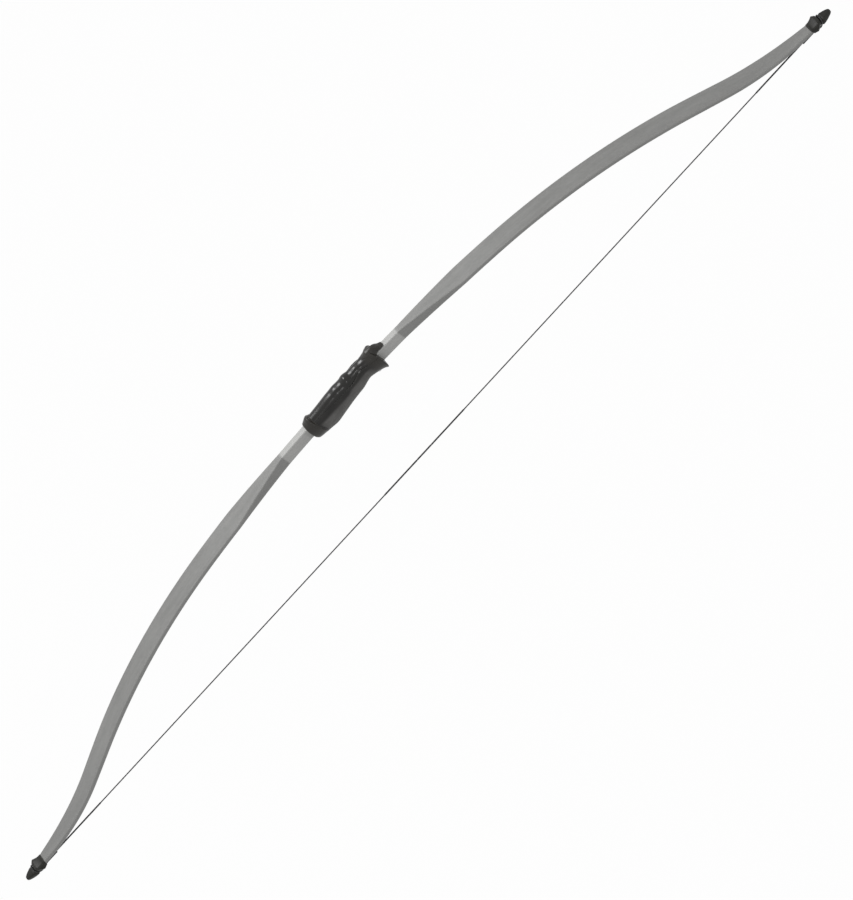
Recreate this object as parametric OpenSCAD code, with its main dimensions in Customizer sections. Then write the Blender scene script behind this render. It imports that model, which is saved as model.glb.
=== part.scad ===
/* [Stave] */
// Length of each half of the stave, along its middle
stave_half = 755; // [735:1:775]
// Straight stretch each side of the stave's centre
straight_len = 20; // [5:1:60]
// Length of the inner bend, towards the string
inner_len = 249; // [200:1:300]
// Turn of the inner bend, in degrees
inner_turn = 8.5; // [6:0.1:11]
// Length of the outer bend, towards the string
outer_len = 294; // [250:1:330]
// Turn of the outer bend, in degrees
outer_turn = 18.9; // [15:0.1:23]
// Straight stretch between the bends and the recurve
plain_len = 50; // [20:1:80]
// Length of the recurve
recurve_len = 120; // [90:1:128]
// Turn of the recurve, away from the string
recurve_turn = 19; // [14:0.1:24]
// Width of the centre section
centre_w = 10.6; // [9:0.1:12]
// Depth of the centre section
centre_t = 17.6; // [15:0.1:20]
// Width of a limb
limb_w = 31.3; // [27:0.1:35]
// Thickness of a limb
limb_t = 5.5; // [4:0.1:7]
// Distance from the centre at which each limb begins
limb_start = 108.5; // [100:0.5:120]
// Length over which the section changes from deep to wide
fade_len = 98.5; // [70:0.5:130]
// Distance from the centre at which the limb starts to narrow
taper_start = 424; // [380:1:520]
// Width of the limb where the tip cap begins
tip_w = 15.4; // [13:0.1:17]
// How late the limb narrows
taper_power = 3.8; // [2:0.1:5]
// Chamfer along the stave's edges
edge_cut = 1; // [0.4:0.1:1.5]
// How far the round face where a limb meets the centre section stands beyond half its depth
knuckle_rise = 1.15; // [0.8:0.05:2]

/* [Grip] */
// Foot of the grip, below the stave's centre
grip_foot = 42.7; // [38:0.1:50]
// Slope of the grip's foot, rising towards the archer, in degrees
foot_slope = 13; // [0:0.5:16]
// Top of the shelf, above the stave's centre
shelf_top = 69; // [66:0.5:72]
// How far the shelf's front and rear ends lie below its top
shelf_drop = 4.8; // [0:0.1:6]
// Height over which the grip flares out to the shelf
flare_len = 19.5; // [17:0.5:22]
// Height of the throat, where the thumb's web sits
throat_z = 42; // [38:0.5:44]
// Depth of the palm's fullest part below the stave's centre
palm_z = 29; // [24:0.5:34]
// Depth of the grip behind the stave's middle, at the palm
palm_rear = 22.7; // [20:0.1:26]
// Depth of the grip behind the stave's middle, at the throat
throat_rear = 11.6; // [11.4:0.1:15]
// Depth of the shelf behind the stave's middle
shelf_rear = 21.4; // [19:0.1:24]
// Depth of the grip in front of the stave's middle, at the foot
foot_front = 13.4; // [12.4:0.1:15]
// Depth of the grip in front of the stave's middle, at the fingers
finger_front = 17; // [15.6:0.1:19]
// Depth of the shelf in front of the stave's middle
shelf_front = 20.3; // [18:0.1:22]
// Half width of the grip at the palm
palm_half_w = 14; // [13.2:0.1:16]
// Half width of the grip at the throat
throat_half_w = 12; // [11.6:0.1:14]
// Half width of the shelf
shelf_half_w = 16.4; // [15.4:0.1:20]
// Number of finger ribs
rib_count = 3; // [2:1:4]
// Height of the lowest finger rib
rib_first_z = 1; // [-6:0.5:6]
// Distance from rib to rib
rib_pitch = 18.5; // [14:0.5:20]
// How far the middle finger ribs stand out
rib_h = 1.9; // [0.6:0.1:2.4]
// How far the first and last finger ribs stand out
end_rib_h = 0.7; // [0.3:0.1:1.4]
// Depth of the seam between the grip's mouldings, in front of the stave's middle
seam_x = 10.4; // [10.2:0.1:11.4]
// How far the seam swings forward above the throat
seam_swing = 3.2; // [0:0.1:3.6]
// Height of the tongue's top
tongue_top = 83; // [79:0.5:88]
// Half width of the tongue
tongue_half_w = 4.7; // [4:0.1:6]

/* [Collar] */
// Height of the lower collar, along the stave's middle
collar_h = 17.1; // [15:0.1:20]
// How far the collar's lip stands out in front of the grip
lip_out = 3.4; // [1.5:0.1:4.5]
// How far the collar's rear draws in towards its foot
draw_in = 2.4; // [1:0.1:3]
// Depth to which the grip's spigot enters the collar
spigot_len = 7; // [4:0.5:9]
// Wall of the collar round the spigot
collar_wall = 2.6; // [2:0.1:3.2]

/* [Screws and pads] */
// Radius of a screw's thread
screw_r = 1.3; // [1:0.05:1.5]
// Radius of a screw's head
head_r = 2.5; // [2.1:0.1:2.7]
// Height of a screw's head
head_h = 2; // [1.6:0.1:2.6]
// Depth at which the heads seat, behind the stave's middle
head_seat = 9; // [8:0.1:10]
// Distance of the screws from the grip's middle plane
screw_y = 8.6; // [8.3:0.1:9]
// Height of the screws above the centre
high_screw = 56; // [54:0.5:58]
// Radius of the posts that take the screws
post_r = 2.4; // [2:0.1:2.5]
// Thickness of the pads between stave and grip
pad_t = 0.8; // [0.5:0.1:1.2]
// Length of the pads
pad_len = 84; // [60:1:92]

/* [Tip caps] */
// Depth to which the limb enters its cap
socket_depth = 9.5; // [7:0.5:10]
// Length of a cap
cap_len = 34; // [33:0.5:38]
// Wall of a cap beside the limb, at its mouth
cap_side_wall = 0.9; // [0.8:0.1:1.4]
// Wall of a cap in front of the limb, at its mouth
cap_front_wall = 0.9; // [0.7:0.1:1.4]
// Distance from the limb's middle to the cap's, towards the string
cap_shift = 1; // [0.6:0.1:1.4]
// Angle by which a cap stands straighter than the limb
cap_lean = 5; // [2:0.1:6]
// Distance of the string groove's middle from the cap's mouth
groove_z = 15.5; // [14.5:0.5:17]
// Depth of the string groove at the cap's sides
groove_depth = 2.6; // [1.8:0.1:2.8]
// Slope of the string groove, high at the front and low towards the string, in degrees
groove_slope = 32; // [24:1:36]
// How far the ledge below the groove stands out at the cap's sides
ledge_out = 2.2; // [1.2:0.1:2.6]
// How far the ledge sits forward of the cap's middle
ledge_shift = 1.3; // [1.2:0.1:2]

/* [String] */
// Radius of the bare string
strand_r = 0.8; // [0.6:0.05:1]
// Thickness of the thread wound on the string
serving_t = 0.25; // [0.15:0.05:0.35]
// Radius of each leg of a loop
leg_r = 0.9; // [0.7:0.05:1]
// Length of the loops' legs
leg_len = 30; // [26:0.5:34]
// Half distance between a loop's legs where they leave the cap
leg_half_gap = 5; // [4:0.1:5.6]
// Half length of the stretch that the fingers hold straight
nock_half = 13; // [10:0.5:20]
// Length of the serving on each span, next to the middle
mid_serving_len = 60; // [40:1:90]
// Length of the serving on each span, next to the loop
end_serving_len = 90; // [60:1:120]

/* [Hidden] */
$fn = 48;
fit = 0.1;
tongue_power = 3;
free_gap = 0.25;
skin_sides = 40;
cap_sides = 32;
cord_sides = 8;
grip_power = 2.2;
cap_power = 4;
ring_step = 2;
limb_step = 9;
through = 60;
stave_z = 120;
slot_gap = 0.25;

fade_end = limb_start + fade_len;
cap_start = stave_half - socket_depth;
slot_half_w = centre_w / 2 + slot_gap;
slot_front = centre_t / 2 + pad_t;
slot_rear = centre_t / 2 + pad_t + slot_gap;
collar_foot = grip_foot + collar_h;
served_r = strand_r + serving_t;
knuckle_r = centre_t / 2 + knuckle_rise;
knuckle_gap = 0.1;
ball_gap = 0.1;

// The stave's middle line: a chain of arcs in the plane of the string, starting at the centre.
bend_len = [straight_len, inner_len, outer_len, plain_len, recurve_len, 200];
bend_turn = [0, inner_turn, outer_turn, 0, -recurve_turn, 0];

function arc_end(p, a, len, turn) =
  abs(turn) < 0.0001 ? p + len * [sin(a), cos(a)]
  : let (r = len / (turn * PI / 180))
    p + r * [cos(a) - cos(a + turn), sin(a + turn) - sin(a)];
function bend_from(i) = i == 0 ? 0 : bend_from(i - 1) + bend_len[i - 1];
function bend_angle(i) = i == 0 ? 0 : bend_angle(i - 1) + bend_turn[i - 1];
function bend_point(i) =
  i == 0 ? [0, 0] : arc_end(bend_point(i - 1), bend_angle(i - 1), bend_len[i - 1], bend_turn[i - 1]);
function bend_at(l, i = 0) = i == len(bend_len) - 1 || l < bend_from(i + 1) ? i : bend_at(l, i + 1);
function bend_share(l, i) = (l - bend_from(i)) / bend_len[i];
function bow_angle(l) = let (i = bend_at(l)) bend_angle(i) + bend_turn[i] * bend_share(l, i);
function bow_point(l) =
  let (i = bend_at(l))
  arc_end(bend_point(i), bend_angle(i), l - bend_from(i), bend_turn[i] * bend_share(l, i));

// Width and thickness of the stave at a distance from its centre.
function clamp01(f) = min(max(f, 0), 1);
function fade(l) = clamp01((l - limb_start) / fade_len);
function narrowing(l) = pow(max(l - taper_start, 0) / (cap_start - taper_start), taper_power);
function stave_w(l) = centre_w + (limb_w - centre_w) * fade(l) - (limb_w - tip_w) * narrowing(l);
function stave_t(l) = centre_t + (limb_t - centre_t) * fade(l);

// The cap's frame, the loop's pivot and the string's place, all taken from the limb's tip.
cap_half_w = tip_w / 2 + cap_side_wall;
cap_half_t = limb_t / 2 + cap_shift + cap_front_wall;
groove_half_w = cap_half_w - groove_depth;
groove_half_t = cap_half_t - groove_depth * 0.52;
function groove_height(x) = groove_z - x * tan(groove_slope);
leg_x = cap_half_t + leg_r;
cap_angle = bow_angle(cap_start) - cap_lean;
cap_foot = bow_point(cap_start) + cap_shift * [cos(bow_angle(cap_start)), -sin(bow_angle(cap_start))];
loop_pivot = cap_foot + groove_height(leg_x) * [sin(cap_angle), cos(cap_angle)]
  + leg_x * [cos(cap_angle), -sin(cap_angle)];
string_x = loop_pivot[0];
loop_z = loop_pivot[1];
leg_foot_z = loop_z - leg_len;
knuckle = bow_point(limb_start);
knuckle_angle = bow_angle(limb_start);

// A smooth curve through a few chosen points, each a place and a value.
function slope(p, i) =
  let (a = max(i - 1, 0), b = min(i + 1, len(p) - 1))
  (p[b][1] - p[a][1]) / (p[b][0] - p[a][0]);
function span_at(p, z, i = 0) = i >= len(p) - 2 || z < p[i + 1][0] ? i : span_at(p, z, i + 1);
function curve(p, z) =
  let (i = span_at(p, z), h = p[i + 1][0] - p[i][0], f = clamp01((z - p[i][0]) / h))
  p[i][1] * (1 + 2 * f) * pow(1 - f, 2) + h * slope(p, i) * f * pow(1 - f, 2)
  + p[i + 1][1] * f * f * (3 - 2 * f) + h * slope(p, i + 1) * f * f * (f - 1);

// One ring of a rounded section: a superellipse round a middle, at a height.
function turned(v, power) = sign(v) * pow(abs(v), 2 / power);
function oval(x, half_x, half_y, z, power, sides) = [
  for (k = [0:sides - 1])
    let (a = 360 * k / sides)
    [x + half_x * turned(cos(a), power), half_y * turned(sin(a), power), z]
];

// A closed solid over rings that have the same number of points.
module skin(rings) {
  n = len(rings[0]);
  last = len(rings) - 1;
  sides = [
    for (i = [0:last - 1], k = [0:n - 1])
      let (a = i * n + k, b = i * n + (k + 1) % n)
      each [[a, a + n, b], [b, a + n, b + n]]
  ];
  foot = [for (k = [1:n - 2]) [0, k, k + 1]];
  top = [for (k = [1:n - 2]) [last * n, last * n + k + 1, last * n + k]];
  polyhedron(points = [for (r = rings) each r], faces = concat(sides, foot, top));
}

// A round cord along points, with one ring at each point. Aside is a direction that the cord never takes.
function unit(v) = v / norm(v);
function heading(p, i) = unit(p[min(i + 1, len(p) - 1)] - p[max(i - 1, 0)]);
module cord(points, r, aside) {
  skin([
    for (i = [0:len(points) - 1])
      let (t = heading(points, i), u = unit(cross(t, aside)), v = cross(t, u))
      [for (k = [0:cord_sides - 1])
        let (a = 360 * k / cord_sides)
        points[i] + r * (cos(a) * u + sin(a) * v)]
  ]);
}

// A section of the stave: a rectangle with cut corners, square to the middle line.
function stave_ring(l) =
  let (p = bow_point(l), a = bow_angle(l), w = stave_w(l) / 2, t = stave_t(l) / 2, c = edge_cut)
  [for (q = [[t, w - c], [t - c, w], [c - t, w], [-t, w - c], [-t, c - w], [c - t, -w], [t - c, -w], [t, c - w]])
    [p[0] + q[0] * cos(a), q[1], p[1] - q[0] * sin(a)]];
function stave_ring_below(l) = [for (q = stave_ring(l)) [q[0], q[1], -q[2]]];
function stations(from, to, step) =
  let (n = ceil((to - from) / step))
  [for (i = [0:n]) from + (to - from) * i / n];

module at_knuckle() {
  translate([knuckle[0], 0, knuckle[1]])
    rotate([0, knuckle_angle, 0])
      children();
}

module knuckle_round(r) {
  at_knuckle()
    rotate([90, 0, 0])
      cylinder(r = r, h = through, center = true);
}

module stave_centre() {
  half = stations(0, limb_start - 3, limb_step);
  below = [for (i = [len(half) - 1:-1:1]) stave_ring_below(half[i])];
  color([0.55, 0.55, 0.54])
    difference() {
      skin(concat(below, [for (l = half) stave_ring(l)]));
      knuckle_round(knuckle_r);
      mirror([0, 0, 1]) knuckle_round(knuckle_r);
    }
}

module limb() {
  inside = knuckle_r - knuckle_gap;
  color([0.55, 0.55, 0.54])
    difference() {
      skin([for (l = concat(
        stations(limb_start - inside - 1, limb_start, limb_step),
        [for (l = stations(limb_start, fade_end, limb_step)) if (l > limb_start) l],
        [for (l = stations(fade_end, stave_half, limb_step)) if (l > fade_end) l]
      )) stave_ring(l)]);
      difference() {
        at_knuckle()
          translate([-through / 2, -through / 2, -through])
            cube([through, through, through]);
        knuckle_round(inside);
      }
    }
}

module upper_limb() {
  limb();
}

module lower_limb() {
  mirror([0, 0, 1]) limb();
}

// Outline of the grip, as heights and depths in front of and behind the stave's middle.
front_points = [
  [-grip_foot, foot_front],
  [-palm_z, foot_front + (finger_front - foot_front) * 0.33],
  [-palm_z / 3, finger_front - 0.2],
  [throat_z / 2, finger_front],
  [throat_z, finger_front - 0.5],
  [shelf_top - flare_len, finger_front - 0.7],
  [shelf_top - flare_len * 0.58, shelf_front - 3.2],
  [shelf_top - flare_len * 0.29, shelf_front - 1.3],
  [shelf_top, shelf_front]
];
rear_points = [
  [-grip_foot, palm_rear - 1.5],
  [-palm_z, palm_rear],
  [-palm_z / 3, palm_rear - 2.7],
  [throat_z / 5, (palm_rear + throat_rear) / 2 - 0.2],
  [throat_z * 0.6, throat_rear + 4],
  [throat_z * 0.83, throat_rear + 1.4],
  [throat_z, throat_rear],
  [shelf_top - flare_len, throat_rear + 1.5],
  [shelf_top - flare_len * 0.58, shelf_rear - 6],
  [shelf_top - flare_len * 0.29, shelf_rear - 3.7],
  [shelf_top, shelf_rear]
];
width_points = [
  [-grip_foot, palm_half_w - 0.6],
  [-palm_z, palm_half_w],
  [throat_z / 8, palm_half_w - 0.3],
  [throat_z * 0.7, throat_half_w + 0.7],
  [throat_z, throat_half_w],
  [shelf_top - flare_len, throat_half_w + 0.9],
  [shelf_top - flare_len * 0.58, shelf_half_w - 2],
  [shelf_top - flare_len * 0.29, shelf_half_w - 0.9],
  [shelf_top, shelf_half_w]
];
function rib_at(z, i) =
  let (f = (z - rib_first_z - i * rib_pitch) / rib_pitch, h = i == 0 || i == rib_count - 1 ? end_rib_h : rib_h)
  abs(f) < 0.45 ? h * (1 + cos(400 * f)) / 2 : 0;
function rib_bump(z, i = 0) = i == rib_count ? 0 : rib_at(z, i) + rib_bump(z, i + 1);

// The grip's rings lie level, but those at its foot slope, and those at the shelf fall away at both ends.
level_half = 5;
slope_reach = 30;
function ring_drop(z) = pow(clamp01(1 - (shelf_top - z) / flare_len), 1.5);
function end_fall(x) = shelf_drop * pow(max(abs(x) - level_half, 0) / (shelf_front - level_half), 2);
function ring_rise(z) = tan(foot_slope) * clamp01(1 - (z + grip_foot) / slope_reach);
function settle(ring, z) = [for (q = ring) [q[0], q[1], z + q[0] * ring_rise(z) - end_fall(q[0]) * ring_drop(z)]];
function grip_oval(z, inset, size) =
  let (
    front = (curve(front_points, z) + rib_bump(z) - inset) * size,
    rear = (curve(rear_points, z) - inset) * size,
    half_y = (curve(width_points, z) - inset) * size
  )
  oval((rear - front) / 2, (rear + front) / 2, half_y, z, grip_power, skin_sides);
function grip_ring(z, inset = 0, size = 1) = settle(grip_oval(z, inset, size), z);

spigot_front = slot_front + 1.8;
spigot_rear = palm_rear - 1.5 - collar_wall - 2.5;
spigot_half_w = palm_half_w - 0.6 - collar_wall - 1;
spigot_root = 8;
module spigot(gap) {
  skin([for (z = [-grip_foot - spigot_len - gap, -grip_foot + spigot_root])
    oval((spigot_rear - spigot_front) / 2, (spigot_rear + spigot_front) / 2 + gap, spigot_half_w + gap,
      z, grip_power, skin_sides)]);
}

top_round = 0.8;
module grip_outer() {
  skin(concat(
    [for (z = stations(-grip_foot, shelf_top - top_round, ring_step)) grip_ring(z)],
    [for (f = [0.5, 0.85, 1]) grip_ring(shelf_top - top_round * (1 - f), top_round * (1 - sqrt(1 - f * f * 0.96)))],
    [for (f = [0.85, 0.7, 0.5, 0.2]) grip_ring(shelf_top, top_round * 0.8, f)]
  ));
  spigot(0);
}

module stave_slot() {
  translate([-slot_front, -slot_half_w, -stave_z])
    cube([slot_front + slot_rear, 2 * slot_half_w, 2 * stave_z]);
}

// The seam runs straight down the sides and swings forward at the throat.
function seam_at(z) = -seam_x - seam_swing * exp(-pow((z - throat_z - 1.5) / 8, 2));
module front_region(gap) {
  rotate([90, 0, 0])
    linear_extrude(height = 2 * through, center = true)
      polygon(concat(
        [for (z = stations(-stave_z, stave_z, 4)) [seam_at(z) - gap, z]],
        [[-through, stave_z], [-through, -stave_z]]
      ));
  translate([-through, gap - slot_half_w, -stave_z])
    cube([through - slot_front, 2 * slot_half_w - 2 * gap, 2 * stave_z]);
}

// The tongue is a fin on the stave's front, as deep as the shelf at its foot and curving back to its top.
tongue_foot = shelf_top - 9;
tongue_rear = slot_front - 3;
tongue_points = [
  [-0.65, 0.5], [-0.4, 0.84], [-0.28, 1], [0.03, 1], [0.25, 0.92], [0.47, 0.73], [0.69, 0.32], [0.85, 0.13], [1, 0.04]
];
function tongue_ring(z, gap) =
  let (
    f = (z - shelf_top) / (tongue_top - shelf_top),
    front = slot_front + (shelf_front - slot_front) * curve(tongue_points, f),
    half_y = tongue_half_w * (1 - 0.3 * pow(max(f, 0), 5))
  )
  oval(-(front + tongue_rear) / 2, (front - tongue_rear) / 2 + gap, half_y + gap, z, tongue_power, cap_sides);
module tongue(gap) {
  skin([for (f = [0, 0.12, 0.2, 0.26, 0.4, 0.5, 0.6, 0.7, 0.78, 0.85, 0.91, 0.96, 1])
    tongue_ring(tongue_foot + (tongue_top - tongue_foot) * f, gap)]);
}

module along_x(x, y, z, r, len) {
  translate([x, y, z])
    rotate([0, 90, 0])
      cylinder(r = r, h = len);
}

module each_screw() {
  for (y = [-screw_y, screw_y])
    translate([0, y, high_screw])
      children();
}

post_end = 0;
screw_tip = -seam_x + 1;
module grip_body() {
  color([0.1, 0.1, 0.1])
    difference() {
      grip_outer();
      front_region(0);
      stave_slot();
      tongue(fit);
      each_screw() {
        along_x(-through, 0, 0, post_r + fit, through + post_end + fit);
        along_x(-through, 0, 0, screw_r + fit, 2 * through);
        along_x(head_seat, 0, 0, head_r + free_gap, through);
      }
    }
}

module grip_front() {
  color([0.1, 0.1, 0.1])
    difference() {
      union() {
        intersection() {
          grip_outer();
          front_region(fit / 2);
        }
        tongue(0);
        each_screw() along_x(-seam_x - 1.5, 0, 0, post_r, seam_x + 1.5 + post_end);
      }
      stave_slot();
      each_screw() along_x(screw_tip - 0.5, 0, 0, screw_r + fit / 5, through);
    }
}

module grip_screws() {
  color([0.6, 0.6, 0.62])
    each_screw()
      difference() {
        union() {
          along_x(screw_tip, 0, 0, screw_r, head_seat - screw_tip);
          along_x(head_seat, 0, 0, head_r, head_h);
        }
        translate([head_seat + head_h / 2, 0, 0])
          rotate([0, 90, 0])
            cylinder(r = head_r / 2, h = head_h, $fn = 6);
      }
}

// The collar's outline from its foot (0) to the grip's sloping foot (1): how far out from the grip's own outline.
front_out = [[0, -0.75], [0.1, -0.35], [0.35, 0.2], [0.55, 0.7], [0.8, 1], [0.9, 0.85], [1, 0.3]];
rear_out = [[0, -3.4], [0.07, -2.3], [0.15, -1.3], [0.3, -1], [0.6, -0.65], [0.8, -0.3], [1, -0.05]];
side_out = [[0, -3], [0.1, -1.9], [0.35, -0.5], [0.8, 0.7], [0.9, 0.6], [1, 0.1]];
front_floor = slot_front + 1.2;
function collar_ring(f) =
  let (
    front = max(foot_front + lip_out * curve(front_out, f), front_floor),
    rear = palm_rear - 1.5 + draw_in * curve(rear_out, f),
    half_y = palm_half_w - 0.6 + curve(side_out, f)
  )
  [for (q = oval((rear - front) / 2, (rear + front) / 2, half_y, 0, grip_power, skin_sides))
    [q[0], q[1], -collar_foot + f * (collar_h + q[0] * tan(foot_slope))]];
module lower_collar() {
  color([0.1, 0.1, 0.1])
    difference() {
      skin([for (f = [0, 0.03, 0.07, 0.12, 0.2, 0.3, 0.4, 0.5, 0.6, 0.7, 0.77, 0.83, 0.89, 0.95, 1]) collar_ring(f)]);
      spigot(fit);
      stave_slot();
    }
}

module pad(x) {
  color([0.2, 0.2, 0.2])
    translate([x, -centre_w / 2 + edge_cut, -pad_len / 2])
      cube([pad_t - fit, centre_w - 2 * edge_cut, pad_len]);
}

module front_pad() {
  pad(-slot_front + fit / 2);
}

module rear_pad() {
  pad(slot_rear - pad_t + fit / 2);
}

// Rings of a cap in its own frame, from its slanting mouth past the ledge and the groove to the nose.
// Each row is a height, a share of the groove's slope, the half depth,
// the half width and the shift towards the string.
cap_rows = [
  [0, -0.5, cap_half_t - 0.4, cap_half_w - 0.3, 0],
  [0.5, -0.45, cap_half_t, cap_half_w, 0],
  [groove_z - 12.9, 0.2, cap_half_t, cap_half_w + 0.2, -0.1],
  [groove_z - 10.9, 0.7, cap_half_t + 0.3, cap_half_w + ledge_out * 0.36, -ledge_shift * 0.4],
  [groove_z - 8.9, 1, cap_half_t + 0.8, cap_half_w + ledge_out * 0.77, -ledge_shift * 0.8],
  [groove_z - 7.9, 1, cap_half_t + 1.1, cap_half_w + ledge_out, -ledge_shift],
  [groove_z - 7.3, 1, cap_half_t + 1.1, cap_half_w + ledge_out, -ledge_shift],
  [groove_z - 5.9, 1, cap_half_t + 0.7, cap_half_w + ledge_out * 0.64, -ledge_shift * 0.9],
  [groove_z - 4.3, 1, cap_half_t + 0.3, cap_half_w + ledge_out * 0.23, -ledge_shift * 0.77],
  [groove_z - 2.7, 1, cap_half_t - 0.2, cap_half_w - 0.5, -ledge_shift * 0.5],
  [groove_z - 1.6, 1, groove_half_t + 0.3, groove_half_w + 0.5, -0.1],
  [groove_z - 0.9, 1, groove_half_t, groove_half_w, 0],
  [groove_z + 0.9, 1, groove_half_t, groove_half_w, 0],
  [groove_z + 1.7, 1, groove_half_t + 0.4, groove_half_w + 0.5, 0.2],
  [groove_z + 2.9, 1, cap_half_t - 0.4, cap_half_w - 1.6, 0.5],
  [groove_z + 4.3, 1, cap_half_t, cap_half_w - 1.3, 0.8],
  [groove_z + 5.9, 0.9, cap_half_t, cap_half_w - 1.5, 1],
  [groove_z + 8.5, 0.65, cap_half_t * 0.9, cap_half_w * 0.76, 0.9],
  [cap_len - 6.3, 0.35, cap_half_t * 0.77, cap_half_w * 0.62, 0.6],
  [cap_len - 3.3, 0.1, cap_half_t * 0.62, cap_half_w * 0.48, 0.4],
  [cap_len - 1.5, 0, cap_half_t * 0.48, cap_half_w * 0.37, 0.3],
  [cap_len - 0.4, 0, cap_half_t * 0.34, cap_half_w * 0.27, 0.3],
  [cap_len, 0, cap_half_t * 0.2, cap_half_w * 0.17, 0.3]
];
function cap_ring(row) =
  [for (q = oval(row[4], row[2], row[3], row[0], cap_power, cap_sides))
    [q[0], q[1], q[2] - q[0] * tan(groove_slope) * row[1]]];
module in_cap_frame() {
  translate([cap_foot[0], 0, cap_foot[1]])
    rotate([0, cap_angle, 0])
      children();
}

module tip_cap() {
  color([0.12, 0.12, 0.11])
    difference() {
      in_cap_frame()
        skin([for (row = cap_rows) cap_ring(row)]);
      skin([for (l = stations(cap_start - 12, stave_half + fit, limb_step)) socket_ring(l)]);
    }
}

// The socket in a cap is the limb's section with room for the glue.
function socket_ring(l) =
  let (p = bow_point(l), a = bow_angle(l), w = stave_w(l) / 2 + fit, t = stave_t(l) / 2 + fit, c = edge_cut)
  [for (q = [[t, w - c], [t - c, w], [c - t, w], [-t, w - c], [-t, c - w], [c - t, -w], [t - c, -w], [t, c - w]])
    [p[0] + q[0] * cos(a), q[1], p[1] - q[0] * sin(a)]];

module upper_tip_cap() {
  tip_cap();
}

module lower_tip_cap() {
  mirror([0, 0, 1]) tip_cap();
}

// The loop lies in the sloping groove, from one rear corner of the cap round its front to the other.
band_half_w = groove_half_w + leg_r + fit;
band_half_t = groove_half_t + leg_r + fit;
band_turn = 120;
function band_point(a) =
  let (x = -band_half_t * turned(cos(a), cap_power))
  [x, band_half_w * turned(sin(a), cap_power), groove_height(x)];
band_pivot = [leg_x, leg_half_gap, groove_height(leg_x)];
band_end = band_pivot + (leg_r + 2 * fit) * unit(band_point(band_turn) - band_pivot);
module loop_band() {
  near = concat([band_end], [for (a = [band_turn:-15:15]) band_point(a)]);
  far = [for (i = [len(near) - 1:-1:0]) [near[i][0], -near[i][1], near[i][2]]];
  color([0.13, 0.13, 0.13])
    in_cap_frame()
      cord(concat(near, [band_point(0)], far), leg_r, [0, 0, 1]);
}

module upper_loop() {
  loop_band();
}

module lower_loop() {
  mirror([0, 0, 1]) loop_band();
}

// Each leg of the loop turns at the cap's rear corner and runs down to lie along the string.
leg_foot_y = served_r + leg_r + fit;
leg_meet = 0.4;
function leg_ring(f, r, rise) = [
  for (k = [0:cord_sides - 1])
    let (a = 360 * (k + 0.5) / cord_sides)
    [
      string_x + r * cos(a),
      leg_half_gap + (leg_foot_y - leg_half_gap) * min(f / leg_meet, 1) + r * sin(a),
      loop_z - leg_len * f + rise
    ]
];
module leg() {
  skin(concat(
    [for (f = [1:-0.1:0]) leg_ring(f, leg_r, 0)],
    [for (a = [20:20:80]) leg_ring(0, leg_r * cos(a), leg_r * sin(a))]
  ));
}
module loop_legs() {
  color([0.13, 0.13, 0.13])
    for (side = [0, 1])
      mirror([0, side, 0]) leg();
}

module upper_loop_legs() {
  loop_legs();
}

module lower_loop_legs() {
  mirror([0, 0, 1]) loop_legs();
}

// Each span turns about the middle of its own round end.
span_z = nock_half + served_r + ball_gap;
span_top = leg_foot_z + 5;
module on_string(from, to, r) {
  translate([string_x, 0, from])
    cylinder(r = r, h = to - from);
}

module strand() {
  color([0.16, 0.16, 0.16]) {
    on_string(span_z, span_top, strand_r);
    translate([string_x, 0, span_z])
      sphere(r = served_r);
  }
}

module upper_strand() {
  strand();
}

module lower_strand() {
  mirror([0, 0, 1]) strand();
}

module serving(from, to) {
  color([0.1, 0.1, 0.1])
    difference() {
      on_string(from, to, served_r);
      on_string(from - 1, to + 1, strand_r + fit / 5);
    }
}

module upper_end_serving() {
  serving(span_top - end_serving_len, span_top - 1);
}

module lower_end_serving() {
  mirror([0, 0, 1]) serving(span_top - end_serving_len, span_top - 1);
}

module upper_mid_serving() {
  serving(span_z + served_r + ball_gap, span_z + mid_serving_len);
}

module lower_mid_serving() {
  mirror([0, 0, 1]) serving(span_z + served_r + ball_gap, span_z + mid_serving_len);
}

module string_middle() {
  color([0.16, 0.16, 0.16])
    on_string(-nock_half, nock_half, strand_r);
}

module centre_serving() {
  serving(-nock_half, nock_half);
}

stave_centre();
upper_limb();
lower_limb();
grip_body();
grip_front();
lower_collar();
grip_screws();
front_pad();
rear_pad();
upper_tip_cap();
lower_tip_cap();
upper_loop();
lower_loop();
upper_loop_legs();
lower_loop_legs();
upper_strand();
lower_strand();
upper_end_serving();
lower_end_serving();
upper_mid_serving();
lower_mid_serving();
string_middle();
centre_serving();
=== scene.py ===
import math

import bmesh
import bpy
from mathutils import Matrix, Vector


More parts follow.
